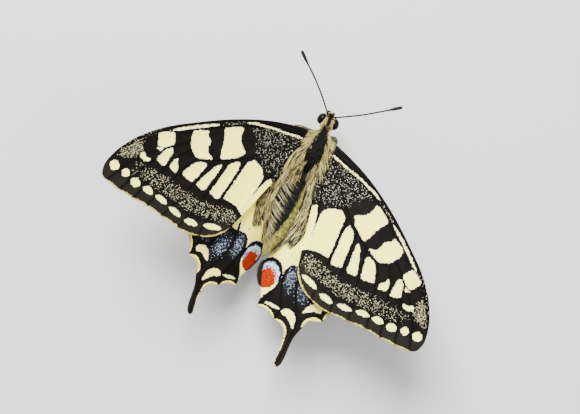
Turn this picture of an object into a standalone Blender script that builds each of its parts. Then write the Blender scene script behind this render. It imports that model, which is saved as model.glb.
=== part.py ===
"""A swallowtail butterfly (Papilio machaon), life size, standing with its wings open.

+Z is up and the head points to -Y, so the butterfly's left side is at +X. Lengths here are in
millimetres, measured from the middle of the thorax, straight up from the floor; MM makes them metres.
The solids reach out to the tips of the coat, and wings and feelers are thick enough to print.
"""

import bmesh
import bpy
import numpy as np
from mathutils import Matrix

MM = 0.001
SHEET = 0.5         # thickness of the wings
RULINGS = 6         # strips across a wing, from its front margin to its rear one
TUBE_STEPS = 2      # bevel resolution of the legs and feelers: eight sides

# The trunk, station by station: y, height of the middle, half width, half height.
THORAX = [(-4.3, 7.7, 1.15, 1.25), (-3.7, 7.8, 1.95, 2.0), (-2.4, 8.0, 2.65, 2.85), (0.0, 8.1, 2.95, 3.2),
          (2.3, 8.0, 2.75, 2.95), (3.7, 7.95, 2.35, 2.45), (4.35, 7.95, 1.75, 1.85)]
HEAD = [(-7.75, 7.1, 0.55, 0.75), (-7.35, 7.15, 1.15, 1.4), (-6.5, 7.3, 1.55, 1.75), (-5.5, 7.45, 1.5, 1.65),
        (-4.95, 7.6, 1.2, 1.3), (-4.62, 7.65, 0.9, 0.95)]
ABDOMEN_FRONT, ABDOMEN_TIP = 4.5, 22.3
ABDOMEN_HALF_WIDTH, ABDOMEN_HALF_HEIGHT = 2.1, 2.15
ABDOMEN_RISE = 0.9   # the tip lies this much higher than the waist
ABDOMEN_SWAY = 0.45  # and bends this far to the left
SEGMENTS = 8
GROOVE = 0.12        # depth of the crease between two segments

EYE_MIDDLE = (1.3, -6.25, 7.35)
EYE_RADII = (0.92, 1.15, 1.25)
EYE_GAP = 0.07
EYE_TURN = 14.0      # degrees by which each eye faces forward

# Each wing lies in its own plane: x runs out along the wing, y runs back across it. A pose is the side,
# the hinge (x, y, z), the azimuth of x behind the sideways direction, and the sideways and rearward rise.
FOREWING_POSE = {"left": (1, (3.3, -2.3, 9.8), 34.6, 22.3, 2.0),
                 "right": (-1, (3.4, -1.9, 9.8), 42.0, 14.0, 1.5)}
HINDWING_POSE = {"left": (1, (3.2, -0.3, 9.1), 78.6, 20.8, 0.3),
                 "right": (-1, (2.9, 1.2, 9.1), 76.0, 12.8, 0.0)}
HINDWING_TUCK = {"left": 2.3, "right": 1.4}   # how far the inner edge curls down beside the abdomen

FOREWING_FRONT = [(-0.7, -0.5), (2.9, -2.0), (7.5, -3.5), (14.5, -4.85), (22.5, -5.45), (29.0, -5.4),
                  (34.3, -4.3), (38.4, -2.2), (40.4, -0.3), (41.0, 1.1)]
FOREWING_INNER = [(1.1, 1.9), (3.6, 5.2), (8.3, 8.6), (13.6, 12.6), (17.5, 15.4)]
FOREWING_OUTER_VEINS = [(17.5, 15.4), (24.2, 15.6), (27.9, 13.4), (30.8, 10.8), (33.5, 8.3), (35.9, 6.6),
                        (38.3, 4.6), (40.4, 2.5), (41.0, 1.1)]
FOREWING_SCALLOPS = [-0.75, -0.25, 0.1, 0.1, 0.1, 0.1, 0.0, -0.15]

HINDWING_COSTA = [(-0.4, -2.2), (1.6, -5.4), (5.5, -10.2), (10.8, -14.6), (16.2, -16.6)]
HINDWING_FRONT_VEINS = [(16.2, -16.6), (21.6, -14.3), (26.0, -9.8), (29.8, -5.0), (32.0, -1.3)]
HINDWING_FRONT_SCALLOPS = [-0.6, 0.15, 0.75, 1.0]
TAIL_OUTER = [(32.0, -1.3), (33.8, -0.3), (36.0, 0.3), (38.2, 0.8), (39.5, 1.35), (40.0, 1.95)]
HINDWING_INNER = [(-0.4, -0.2), (3.2, 0.9), (8.6, 2.2), (13.0, 3.1), (16.6, 4.7), (19.2, 7.3),
                  (21.6, 8.6), (24.4, 8.4), (26.8, 7.6), (29.1, 7.9)]
HINDWING_REAR_VEINS = [(29.1, 7.9), (31.1, 4.1), (34.6, 1.75)]
HINDWING_REAR_SCALLOPS = [0.5, 1.05]
TAIL_INNER = [(34.6, 1.75), (36.6, 1.95), (38.4, 2.4), (39.5, 2.5), (40.0, 1.95)]
TAIL_CHANGE = {"left": (-1.2, 0.85), "right": (0.0, 0.0)}   # a shorter tail, leaning inwards at its tip

# Each antenna: its points from the head to the tip, and its half thickness at the same places.
ANTENNAE = {"left": [(0.75, -7.3, 8.75), (3.75, -10.2, 9.9), (6.6, -12.55, 11.1), (9.4, -14.6, 11.9),
                     (10.85, -15.75, 12.2)],
            "right": [(-0.7, -7.35, 8.75), (-5.3, -10.2, 10.2), (-8.4, -12.45, 11.1), (-10.3, -13.9, 11.6),
                      (-11.1, -14.5, 11.8)]}
FEELER, CLUB = 0.25, 0.42

# Each leg: hip, knee, ankle, toe. The front legs reach out sideways, so that the wings hide their feet.
LEGS = {("front", "left"): [(1.0, -3.2, 4.9), (4.4, -3.0, 5.9), (6.3, -2.1, 3.0), (8.3, -0.9, 0.22)],
        ("front", "right"): [(-1.0, -3.2, 4.9), (-2.95, -3.9, 5.3), (-3.9, -2.9, 2.5), (-5.3, -1.2, 0.22)],
        ("middle", "left"): [(1.3, -0.2, 4.45), (6.4, 0.6, 6.4), (9.6, 1.8, 3.0), (13.2, 3.4, 0.22)],
        ("middle", "right"): [(-1.3, -0.2, 4.45), (-6.4, 0.6, 6.4), (-9.2, 2.1, 3.0), (-12.6, 3.9, 0.22)],
        ("hind", "left"): [(1.2, 2.3, 4.75), (5.2, 6.0, 6.0), (7.4, 11.2, 3.2), (9.6, 16.2, 0.22)],
        ("hind", "right"): [(-1.2, 2.3, 4.75), (-5.2, 6.0, 6.0), (-7.7, 10.8, 3.2), (-10.1, 15.6, 0.22)]}
LEG_RADII = (0.46, 0.42, 0.3, 0.27)
TARSUS_REST = 2.6    # length of foot that lies on the ground

PALP = [(0.54, -7.1, 5.0), (0.54, -7.65, 5.2), (0.52, -8.0, 5.8), (0.46, -8.05, 6.6)]
PALP_RADII = [0.3, 0.34, 0.36, 0.36, 0.34, 0.3, 0.22]
PROBOSCIS_MIDDLE = (0.0, -7.2, 4.35)
PROBOSCIS_TURNS = 2.1
PROBOSCIS_INSIDE, PROBOSCIS_REACH = 0.25, 0.95
PROBOSCIS_RADIUS = 0.13


def curve_through(points, count):
    """A smooth curve through the points: cubic pieces whose slopes are the chords between neighbours."""
    p = np.array(points, float)
    at = np.concatenate([[0], np.cumsum(np.linalg.norm(np.diff(p, axis=0), axis=1))])
    slope = np.gradient(p, at, axis=0)
    t = np.linspace(0, at[-1], count + 1)
    i = np.clip(np.searchsorted(at, t, side="right") - 1, 0, len(p) - 2)
    step = (at[i + 1] - at[i])[:, None]
    s = ((t - at[i]) / step[:, 0])[:, None]
    return (p[i] * (1 + 2 * s) * (1 - s) ** 2 + slope[i] * step * s * (1 - s) ** 2
            + p[i + 1] * s * s * (3 - 2 * s) + slope[i + 1] * step * s * s * (s - 1))


def scalloped(ends, depths, count):
    """A margin from vein end to vein end, each stretch bowed inwards by its depth (outwards if negative)."""
    ends = np.array(ends, float)
    middle = ends.mean(axis=0) - np.array([8.0, 0.0])
    t = np.linspace(0, 1, count + 1)[:, None]
    pieces = []
    for start, end, depth in zip(ends[:-1], ends[1:], depths):
        along = (end - start) / np.linalg.norm(end - start)
        inward = np.array([-along[1], along[0]])
        inward *= np.sign(inward @ (middle - start))
        pieces.append((start + (end - start) * t + inward * depth * np.sin(np.pi * t) ** 0.8)[:-1])
    return np.concatenate(pieces + [ends[-1:]])


def joined(*curves):
    return np.concatenate([c[:-1] for c in curves[:-1]] + [curves[-1]])


def forewing_margins(fine):
    """Front and rear edge of the forewing from root to apex, with equal counts of points."""
    front = curve_through(FOREWING_FRONT, 24 * fine)
    rear = joined(curve_through(FOREWING_INNER, 8 * fine),
                  scalloped(FOREWING_OUTER_VEINS, FOREWING_SCALLOPS, 2 * fine))
    return front, rear


def hindwing_margins(fine, tail_change):
    """Front and rear edge of the hindwing from root to the tip of the tail, with equal counts of points."""
    front = joined(curve_through(HINDWING_COSTA, 8 * fine),
                   scalloped(HINDWING_FRONT_VEINS, HINDWING_FRONT_SCALLOPS, 5 * fine),
                   curve_through(TAIL_OUTER, 6 * fine))
    rear = joined(curve_through(HINDWING_INNER, 18 * fine),
                  scalloped(HINDWING_REAR_VEINS, HINDWING_REAR_SCALLOPS, 5 * fine),
                  curve_through(TAIL_INNER, 6 * fine))
    for edge in (front, rear):
        edge += np.array(tail_change) * np.clip((edge[:, :1] - 31.0) / 9.0, 0, 1) ** 2
    return front, rear


def in_place(flat, height, pose):
    """Wing points (x, y) and their height over the wing's plane, carried to the butterfly."""
    side, hinge, azimuth, sideways, rearward = pose
    tilt = np.array([side * np.tan(np.radians(sideways)), np.tan(np.radians(rearward))])
    normal = np.array([-tilt[0], -tilt[1], 1.0])
    normal /= np.linalg.norm(normal)
    heading = np.array([side * np.cos(np.radians(azimuth)), np.sin(np.radians(azimuth))])
    out = np.array([*heading, heading @ tilt])
    out /= np.linalg.norm(out)
    back = np.cross(normal, out) * side
    root = np.array([side * hinge[0], hinge[1], hinge[2]])
    return root + flat[:, :1] * out + flat[:, 1:] * back + height[:, None] * normal


def material(name, colour, roughness):
    made = bpy.data.materials.new(name)
    made.use_nodes = True
    shader = made.node_tree.nodes["Principled BSDF"]
    shader.inputs["Base Color"].default_value = (*colour, 1)
    shader.inputs["Roughness"].default_value = roughness
    return made


def add_object(name, mesh, finish):
    thing = bpy.data.objects.new(name, mesh)
    thing.parent = stance
    mesh.materials.append(finish)
    mesh.shade_smooth()
    butterfly.objects.link(thing)
    return thing


def wing(name, margins, camber, pose, finish):
    """A grid laid as rulings between the two margins makes the sheet, which Solidify thickens."""
    front, rear = margins
    steps = len(front) - 1
    sheet = bmesh.new()
    bmesh.ops.create_grid(sheet, x_segments=steps, y_segments=RULINGS, size=1)
    square = np.array([vert.co for vert in sheet.verts])
    row = np.round((square[:, 0] + 1) / 2 * steps).astype(int)
    across = (square[:, 1:2] + 1) / 2
    flat = front[row] * (1 - across) + rear[row] * across
    for vert, place in zip(sheet.verts, in_place(flat, camber(flat), pose) * MM):
        vert.co = place
    bmesh.ops.remove_doubles(sheet, verts=sheet.verts, dist=0.02 * MM)
    bmesh.ops.recalc_face_normals(sheet, faces=sheet.faces)
    mesh = bpy.data.meshes.new(name)
    sheet.to_mesh(mesh)
    sheet.free()
    thing = add_object(name, mesh, finish)
    solid = thing.modifiers.new("thickness", "SOLIDIFY")
    solid.thickness = SHEET * MM
    solid.offset = 0
    return thing


def forewing_camber(flat):
    """The forewing bellies up a little in the middle and its tip bends down."""
    along = np.clip(flat[:, 0] / 41.0, 0, 1)
    return 0.7 * np.sin(np.pi * along) - 0.8 * along ** 3


def hindwing_camber(tuck):
    """The hindwing's inner edge curls down beside the abdomen, and the tail dips towards its tip."""
    def height(flat):
        beside = np.clip((flat[:, 1] - 0.5) / 7.5, 0, 1.1)
        rear = np.clip((flat[:, 0] - 3.0) / 12.0, 0, 1)
        tail = np.clip((flat[:, 0] - 31.0) / 8.5, 0, 1)
        return -tuck * beside ** 1.5 * rear - 0.6 * tail ** 2
    return height


def oval(sides, square):
    """A unit superellipse |x|^n + |z|^n = 1: n = 2 is round, more is squarer."""
    turn = np.linspace(0, 2 * np.pi, sides, endpoint=False)
    x, z = np.cos(turn), np.sin(turn)
    return np.stack([x, z]) / (np.abs(x) ** square + np.abs(z) ** square) ** (1 / square)


def loft(name, stations, sides, square, finish):
    """A closed body through upright oval rings; each station is x, y, z, half width, half height."""
    shape = bmesh.new()
    across, up = oval(sides, square)
    rings = []
    for x, y, z, wide, high in stations:
        ring = np.stack([x + wide * across, np.full(sides, y), z + high * up], axis=1) * MM
        rings.append([shape.verts.new(p) for p in ring])
    for near, far in zip(rings, rings[1:]):
        for i in range(sides):
            shape.faces.new((near[i], near[(i + 1) % sides], far[(i + 1) % sides], far[i]))
    shape.faces.new(rings[0][::-1])
    shape.faces.new(rings[-1])
    bmesh.ops.recalc_face_normals(shape, faces=shape.faces)
    mesh = bpy.data.meshes.new(name)
    shape.to_mesh(mesh)
    shape.free()
    return add_object(name, mesh, finish)


def rounded_stations(stations, count):
    """Stations smoothed along y, with a smaller ring just beyond each end, so that the ends are round."""
    rows = curve_through(stations, count)
    caps = []
    for end, beyond in ((rows[0], -1), (rows[-1], 1)):
        y, z, wide, high = end
        caps.append((y + beyond * 0.08 * high, z, 0.6 * wide, 0.6 * high))
    return [(0.0, *row) for row in (caps[0], *rows, caps[1])]


def abdomen_stations():
    """Four rows a segment: a swelling between two creases, along a spindle that tapers to the tip."""
    rows = []
    for t in np.linspace(0, 1, 4 * SEGMENTS + 1):
        y = ABDOMEN_FRONT + (ABDOMEN_TIP - ABDOMEN_FRONT) * t
        spindle = np.clip(0.74 + 1.05 * t - 1.15 * t ** 2, 0, 1) * np.sqrt(max(1 - t ** 5, 0.03))
        crease = GROOVE * (1 - np.abs(np.sin(np.pi * SEGMENTS * t)))
        sway = ABDOMEN_SWAY * t ** 3 - 0.25 * np.sin(np.pi * t)
        rows.append((sway, y, 7.95 + ABDOMEN_RISE * t, ABDOMEN_HALF_WIDTH * spindle - crease,
                     ABDOMEN_HALF_HEIGHT * spindle - crease))
    return rows


def tube(name, points, radii, finish, floor=None):
    """A round bar along the points, as a welded mesh; below the floor level it is pressed flat."""
    data = bpy.data.curves.new(name, "CURVE")
    data.dimensions = "3D"
    data.bevel_depth = MM
    data.bevel_resolution = TUBE_STEPS
    data.use_fill_caps = True
    line = data.splines.new("POLY")
    line.points.add(len(points) - 1)
    for point, place, radius in zip(line.points, points, radii):
        point.co = (*(np.array(place) * MM), 1)
        point.radius = radius
    guide = bpy.data.objects.new(name + "_guide", data)
    butterfly.objects.link(guide)
    bpy.context.view_layer.update()
    mesh = bpy.data.meshes.new_from_object(guide.evaluated_get(bpy.context.evaluated_depsgraph_get()))
    bpy.data.objects.remove(guide)
    welded = bmesh.new()
    welded.from_mesh(mesh)
    bmesh.ops.remove_doubles(welded, verts=welded.verts, dist=0.001 * MM)
    if floor is not None:
        for vert in welded.verts:
            vert.co.z = max(vert.co.z, floor)
    welded.to_mesh(mesh)
    welded.free()
    mesh.name = name
    mesh.materials.clear()
    return add_object(name, mesh, finish)


def leg(which, side):
    """Hip to knee to ankle to toe, bent round at the joints, with the foot lying on the floor."""
    hip, knee, ankle, toe = (np.array(p) for p in LEGS[which, side])
    foot = toe - ankle
    foot[2] = 0
    foot *= TARSUS_REST / np.linalg.norm(foot)
    corners = [hip, knee, ankle, toe, toe + foot]
    thick = [*LEG_RADII, LEG_RADII[-1] * 0.95]
    points, radii = [hip], [thick[0]]
    for i in range(1, len(corners) - 1):
        before = corners[i] + (corners[i - 1] - corners[i]) * 0.22
        after = corners[i] + (corners[i + 1] - corners[i]) * 0.22
        for t in np.linspace(0, 1, 5):
            points.append(before * (1 - t) ** 2 + 2 * corners[i] * t * (1 - t) + after * t ** 2)
            radii.append(thick[i])
    points.append(corners[-1])
    radii.append(thick[-1])
    return tube(f"leg_{which}_{side}", points, radii, dark_leg, floor=0.0)


def antenna(side):
    points = curve_through(ANTENNAE[side], 14)
    along = np.linspace(0, 1, len(points))
    radii = FEELER + (CLUB - FEELER) * np.clip((along - 0.8) / 0.12, 0, 1) ** 1.5
    radii[-1] = FEELER
    return tube(f"antenna_{side}", points, radii, black_horn)


def proboscis():
    """The tongue at rest: a flat spiral under the head, its open turns a tongue's width apart."""
    t = np.linspace(0, 1, 40)
    turn = np.pi * (0.5 + 2 * PROBOSCIS_TURNS * (1 - t))
    reach = PROBOSCIS_INSIDE + (PROBOSCIS_REACH - PROBOSCIS_INSIDE) * (1 - t)
    x, y, z = PROBOSCIS_MIDDLE
    points = [(x, y - r * np.cos(a), z + r * np.sin(a)) for r, a in zip(reach, turn)]
    return tube("proboscis", points, np.full(len(t), PROBOSCIS_RADIUS), black_horn)


def eye(side, more=0.0):
    """A ball of three radii, turned to face a little forward; with more to its radii it cuts the socket."""
    sign = 1 if side == "left" else -1
    bpy.ops.mesh.primitive_uv_sphere_add(segments=16, ring_count=10, radius=MM)
    ball = bpy.context.object
    ball.data.transform(Matrix.Diagonal([*(radius + more for radius in EYE_RADII), 1]))
    ball.data.transform(Matrix.Rotation(-sign * np.radians(EYE_TURN), 4, "Z"))
    ball.data.shade_smooth()
    ball.location = (sign * EYE_MIDDLE[0] * MM, EYE_MIDDLE[1] * MM, EYE_MIDDLE[2] * MM)
    ball.parent = stance
    for collection in list(ball.users_collection):
        collection.objects.unlink(ball)
    return ball


for old in list(bpy.data.objects):
    bpy.data.objects.remove(old)
butterfly = bpy.data.collections.new("swallowtail_butterfly")
cutters = bpy.data.collections.new("cutters")
for group in (butterfly, cutters):
    bpy.context.scene.collection.children.link(group)
stance = bpy.data.objects.new("stance", None)
butterfly.objects.link(stance)

wing_scales = material("cream_wing_scales", (0.85, 0.80, 0.52), 0.7)
fur = material("straw_fur", (0.50, 0.42, 0.24), 0.9)
dark_leg = material("dark_leg", (0.06, 0.045, 0.03), 0.5)
black_horn = material("black_horn", (0.02, 0.018, 0.015), 0.35)
eye_lens = material("eye_lens", (0.03, 0.025, 0.02), 0.12)

loft("thorax", rounded_stations(THORAX, 14), 20, 2.5, fur)
loft("abdomen", abdomen_stations(), 16, 2.0, fur)
head = loft("head", rounded_stations(HEAD, 10), 20, 2.2, fur)
proboscis()

for side, sign in (("left", 1), ("right", -1)):
    wing(f"forewing_{side}", forewing_margins(1), forewing_camber, FOREWING_POSE[side], wing_scales)
    wing(f"hindwing_{side}", hindwing_margins(1, TAIL_CHANGE[side]), hindwing_camber(HINDWING_TUCK[side]),
         HINDWING_POSE[side], wing_scales)
    antenna(side)
    for which in ("front", "middle", "hind"):
        leg(which, side)
    tube(f"palp_{side}", curve_through(PALP, 6) * (sign, 1, 1), PALP_RADII, fur)

    ball = eye(side)
    ball.name = f"eye_{side}"
    ball.data.materials.append(eye_lens)
    butterfly.objects.link(ball)

    socket = eye(side, EYE_GAP)
    socket.name = f"socket_{side}"
    socket.hide_render = True
    socket.display_type = "WIRE"
    cutters.objects.link(socket)
    cut = head.modifiers.new(f"socket_{side}", "BOOLEAN")
    cut.operation = "DIFFERENCE"
    cut.object = socket

# The origin goes to the middle of the box that the butterfly fills, on the floor.
bpy.context.view_layer.update()
graph = bpy.context.evaluated_depsgraph_get()
reach = []
for thing in butterfly.objects:
    if thing.type == "MESH":
        evaluated = thing.evaluated_get(graph)
        reach += [evaluated.matrix_world @ vert.co for vert in evaluated.data.vertices]
middle = (np.min(reach, axis=0) + np.max(reach, axis=0)) / 2
stance.location = (-middle[0], -middle[1], 0)
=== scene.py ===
"""The looks of a life-size swallowtail butterfly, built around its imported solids.

Lengths are in millimetres: x and y from the middle of the thorax and z from the floor, with the head
towards -Y and the butterfly's left at +X, as in the solids. place() carries them to the frame's metres.
"""

import bpy
import numpy as np
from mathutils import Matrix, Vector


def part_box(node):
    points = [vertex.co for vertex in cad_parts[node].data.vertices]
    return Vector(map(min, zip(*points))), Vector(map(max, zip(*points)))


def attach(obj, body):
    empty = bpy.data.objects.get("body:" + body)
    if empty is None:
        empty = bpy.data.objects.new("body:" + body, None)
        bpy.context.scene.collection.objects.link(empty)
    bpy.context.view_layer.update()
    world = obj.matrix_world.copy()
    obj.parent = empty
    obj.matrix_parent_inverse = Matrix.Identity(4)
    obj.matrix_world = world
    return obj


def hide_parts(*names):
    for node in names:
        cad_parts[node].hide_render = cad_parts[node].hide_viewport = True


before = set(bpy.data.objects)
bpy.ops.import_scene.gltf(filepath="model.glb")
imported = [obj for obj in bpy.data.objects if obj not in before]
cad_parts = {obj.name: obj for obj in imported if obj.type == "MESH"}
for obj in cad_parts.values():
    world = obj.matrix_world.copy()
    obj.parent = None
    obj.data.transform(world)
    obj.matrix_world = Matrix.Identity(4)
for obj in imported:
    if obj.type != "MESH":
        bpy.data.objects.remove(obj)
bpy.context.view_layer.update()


# ---- Skin -------------------------------------------------------------------------------------
# The horny skin of head, thorax and abdomen is one tube from brow to tail tip, a coat's depth
# inside the solids. It narrows at neck and waist, and the abdomen is creased between its segments.

MM = 0.001
EYE_MIDDLE = np.array([1.3, -6.25, 7.35])
# From the zero used here to the frame's, found by the two eyes.
STANCE = np.mean([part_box("eye_left"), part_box("eye_right")], axis=(0, 1)) / MM - EYE_MIDDLE * (0, 1, 1)

# The skin's stations: y, height of the middle, half width and half height.
SKIN_STATIONS = [
    (-7.6, 7.1, 0.45, 0.6), (-7.2, 7.15, 0.85, 1.1), (-6.5, 7.3, 1.1, 1.4), (-5.6, 7.45, 1.1, 1.3),
    (-4.9, 7.6, 0.85, 0.95), (-4.4, 7.7, 0.75, 0.8), (-3.9, 7.8, 1.15, 1.25), (-3.0, 7.95, 1.7, 1.9),
    (-1.6, 8.1, 2.05, 2.35), (0.2, 8.1, 2.2, 2.5), (2.0, 8.05, 2.05, 2.3), (3.3, 8.0, 1.65, 1.8),
    (4.2, 7.95, 1.25, 1.3), (4.7, 7.95, 1.3, 1.35), (6.5, 8.05, 1.62, 1.66), (9.5, 8.2, 1.84, 1.88),
    (12.5, 8.35, 1.88, 1.92), (15.5, 8.5, 1.74, 1.78), (18.0, 8.62, 1.42, 1.46), (20.0, 8.72, 0.98, 1.02),
    (21.4, 8.8, 0.58, 0.62), (22.0, 8.83, 0.25, 0.28)]
SKIN_FRONT = SKIN_STATIONS[0][0]
SKIN_LENGTH = SKIN_STATIONS[-1][0] - SKIN_FRONT
SKIN_ROWS, SKIN_SIDES = 280, 72
# The skin's share of the coat's colours: painted shade under the hair.
SKIN_PAINTED_SHADE = 0.25
ABDOMEN_FRONT, ABDOMEN_TIP, ABDOMEN_SEGMENTS = 4.5, 22.3, 8


def way_along(line):
    """The length of the line from its start to each of its corners."""
    return np.concatenate([[0], np.cumsum(np.linalg.norm(np.diff(line, axis=0), axis=1))])


def sampled(where, at, line):
    """The line's values at the lengths where along it, if at holds the lengths at its corners."""
    return np.stack([np.interp(where, at, values) for values in np.transpose(line)], axis=-1)


def curve_through(points, count):
    """A smooth curve through the points: cubic pieces whose slopes are the chords between neighbours."""
    p = np.array(points, float)
    at = way_along(p)
    slope = np.gradient(p, at, axis=0)
    t = np.linspace(0, at[-1], count + 1)
    i = np.clip(np.searchsorted(at, t, side="right") - 1, 0, len(p) - 2)
    step = (at[i + 1] - at[i])[:, None]
    s = ((t - at[i]) / step[:, 0])[:, None]
    return (p[i] * (1 + 2 * s) * (1 - s) ** 2 + slope[i] * step * s * (1 - s) ** 2
            + p[i + 1] * s * s * (3 - 2 * s) + slope[i + 1] * step * s * s * (s - 1))


def ramp(value, low, high):
    """0 below low, 1 above high, and a smooth step between: 3t^2 - 2t^3."""
    t = np.clip((value - low) / (high - low), 0, 1)
    return t * t * (3 - 2 * t)


def unit(vectors):
    """Each vector divided by its length."""
    return vectors / np.linalg.norm(vectors, axis=-1, keepdims=True)


def abdomen_sway(y):
    """The abdomen bends a little, a bow to the right with its tip to the left: 0.45 t^3 - 0.25 sin(pi t),
    with t the way along it."""
    t = np.clip((y - ABDOMEN_FRONT) / (ABDOMEN_TIP - ABDOMEN_FRONT), 0, 1)
    return 0.45 * t ** 3 - 0.25 * np.sin(np.pi * t)


SKIN_TABLE = curve_through(SKIN_STATIONS, 600)


def skin_place(y, turn):
    """Where the skin lies at y, at a turn round the body of 0 (belly) to 1: an oval |x|^2.2 + |z|^2.2 = 1,
    drawn in by the creases between the abdomen's segments."""
    middle, wide, high = (np.interp(y, SKIN_TABLE[:, 0], SKIN_TABLE[:, i]) for i in (1, 2, 3))
    along = (y - ABDOMEN_FRONT) / (ABDOMEN_TIP - ABDOMEN_FRONT) * ABDOMEN_SEGMENTS
    crease = np.where(along > 0.5, np.exp(-((along - np.round(along)) / 0.12) ** 2), 0)
    angle = 2 * np.pi * (turn - 0.25)
    x, z = np.cos(angle), np.sin(angle)
    size = (1 - 0.05 * crease) / (np.abs(x) ** 2.2 + np.abs(z) ** 2.2) ** (1 / 2.2)
    return np.stack([abdomen_sway(y) + wide * x * size, y + 0 * turn, middle + high * z * size], axis=-1)


def skin_normal(y, turn):
    """Outwards from the skin: the cross product of its two slopes, taken as small differences."""
    along = skin_place(y + 0.05, turn) - skin_place(y - 0.05, turn)
    around = skin_place(y, turn + 0.005) - skin_place(y, turn - 0.005)
    return unit(np.cross(along, around))


STRAW = np.array([0.68, 0.53, 0.19])
OLIVE = np.array([0.36, 0.33, 0.075])
SOOT = np.array([0.006, 0.005, 0.004])
# The dark stripe along the back: y, its middle and its half width. On the abdomen it lies to the left.
STRIPE = [
    (-8.5, 0.0, 0.5), (-7.2, 0.0, 0.5), (-6.0, 0.0, 0.45), (-4.4, 0.0, 0.7), (-2.5, 0.0, 1.2),
    (0.0, 0.0, 1.45), (2.4, 0.0, 1.7), (4.0, 0.2, 1.6), (6.0, 0.6, 1.6), (10.0, 0.9, 1.75),
    (13.0, 1.0, 1.6), (15.0, 1.15, 1.35), (17.0, 1.2, 1.0), (19.0, 1.2, 0.4), (21.0, 1.0, -0.3)]


def body_colour(spots):
    """The markings of skin and coat alike: a sooty stripe along the back, straw-coloured sides on head and
    thorax, and olive-yellow on the abdomen. A thin dark line low on each of the abdomen's flanks is painted
    shadow, where the flank turns under its hair."""
    x, y, z = spots[..., 0] - abdomen_sway(spots[..., 1]), spots[..., 1], spots[..., 2]
    stripe_y, stripe_middle, stripe_width = np.transpose(STRIPE)
    gap = np.interp(y, stripe_y, stripe_width) - np.abs(x - np.interp(y, stripe_y, stripe_middle))
    middle = np.interp(y, SKIN_TABLE[:, 0], SKIN_TABLE[:, 1])
    back = ramp(gap, -0.12, 0.12) * ramp(z - middle, 0.0, 0.5)
    # Painted shadow: a thin dark line low along each flank of the abdomen.
    flank = ramp(y, 4.6, 5.6) * np.exp(-((z - middle + 0.75) / 0.16) ** 2)
    brow = ramp(-7.05 - y, 0, 0.3) * ramp(z, 7.6, 8.0)
    dark = np.clip(np.maximum(back, np.maximum(0.8 * flank, brow)), 0, 1)[..., None]
    side = STRAW + (OLIVE - STRAW) * ramp(y, 3.6, 6.5)[..., None]
    return side * (1 - dark) + SOOT * dark


def place(spots):
    """The millimetres used here as the frame's metres."""
    return (np.asarray(spots) + STANCE) * MM


def flattened(parts, kind=np.float32):
    """All the numbers of the parts in one row."""
    return np.concatenate([np.ravel(part) for part in parts]).astype(kind)


def make_piece(name, spots, faces, materials, body="root", **marks):
    """Puts spots (mm) and groups of faces into a mesh piece at the origin. A group is an array of corners,
    their places on the OFBake unwrap, and a material number. The faces turn round if they hold a negative
    volume, so that they point outwards. Marks are values or colours kept for each spot."""
    volume = 0.0
    for corner, _, _ in faces:
        for i in range(1, corner.shape[1] - 1):
            across = np.cross(spots[corner[:, i]], spots[corner[:, i + 1]])
            volume += np.einsum("ij,ij->", spots[corner[:, 0]], across)
    if volume < 0:
        faces = [(corner[:, ::-1], patch[:, ::-1], number) for corner, patch, number in faces]
    corners, patches, numbers = zip(*faces)
    sizes = np.concatenate([np.full(len(corner), corner.shape[1]) for corner in corners])
    numbers = [np.full(len(corner), number) for corner, number in zip(corners, numbers)]
    mesh = bpy.data.meshes.new(name)
    mesh.vertices.add(len(spots))
    mesh.vertices.foreach_set("co", flattened([place(spots)]))
    mesh.loops.add(sizes.sum())
    mesh.loops.foreach_set("vertex_index", flattened(corners, np.int32))
    mesh.polygons.add(len(sizes))
    mesh.polygons.foreach_set("loop_start", flattened([np.cumsum(sizes) - sizes], np.int32))
    mesh.polygons.foreach_set("material_index", flattened(numbers, np.int32))
    mesh.update(calc_edges=True)
    layer = mesh.uv_layers.new(name="OFBake")
    layer.data.foreach_set("uv", flattened(patches))
    for mark, values in marks.items():
        if values.ndim == 2:
            kept = mesh.attributes.new(mark, "FLOAT_COLOR", "POINT")
            kept.data.foreach_set("color", flattened([np.column_stack([values, np.ones(len(values))])]))
        else:
            kept = mesh.attributes.new(mark, "FLOAT", "POINT")
            kept.data.foreach_set("value", flattened([values]))
    mesh.shade_smooth()
    for finish in materials:
        mesh.materials.append(finish)
    piece = bpy.data.objects.new(name, mesh)
    bpy.context.scene.collection.objects.link(piece)
    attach(piece, body)
    return piece


def on_unwrap(*corners):
    """The places of faces on the unwrap, each corner as (across, along)."""
    return np.stack([np.stack(corner, axis=1) for corner in corners], axis=1)


def ringed(spots):
    """Quads between closed rings of spots (rows, sides, 3), and fans to a new spot at each end, just beyond
    the last ring. The unwrap is the turn against the way along."""
    rows, sides = spots.shape[:2]
    row, side = (grid.reshape(-1) for grid in np.mgrid[0:rows - 1, 0:sides])
    corner = np.stack([row * sides + side, row * sides + (side + 1) % sides,
                       (row + 1) * sides + (side + 1) % sides, (row + 1) * sides + side], axis=1)
    patch = on_unwrap((side, row), (side + 1, row), (side + 1, row + 1), (side, row + 1)) / (sides, rows - 1)
    ends = spots[[0, -1]].mean(axis=1)
    inner = spots[[1, -2]].mean(axis=1)
    poles = ends + 0.3 * (ends - inner)
    i = np.arange(sides)
    after, last = (i + 1) % sides, (rows - 1) * sides
    near = np.stack([after, i, np.full(sides, rows * sides)], axis=1)
    far = np.stack([last + i, last + after, np.full(sides, rows * sides + 1)], axis=1)
    low = on_unwrap((i + 1, 0 * i), (i, 0 * i), (i + 0.5, 0 * i))
    high = on_unwrap((i, 1 + 0 * i), (i + 1, 1 + 0 * i), (i + 0.5, 1 + 0 * i))
    groups = [(corner, patch, 0), (near, low / (sides, 1), 0), (far, high / (sides, 1), 0)]
    return np.concatenate([spots.reshape(-1, 3), poles]), groups


def new_material(name):
    """A new material, its node tree and its shader."""
    made = bpy.data.materials.new(name)
    made.use_nodes = True
    return made, made.node_tree, made.node_tree.nodes["Principled BSDF"]


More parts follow.
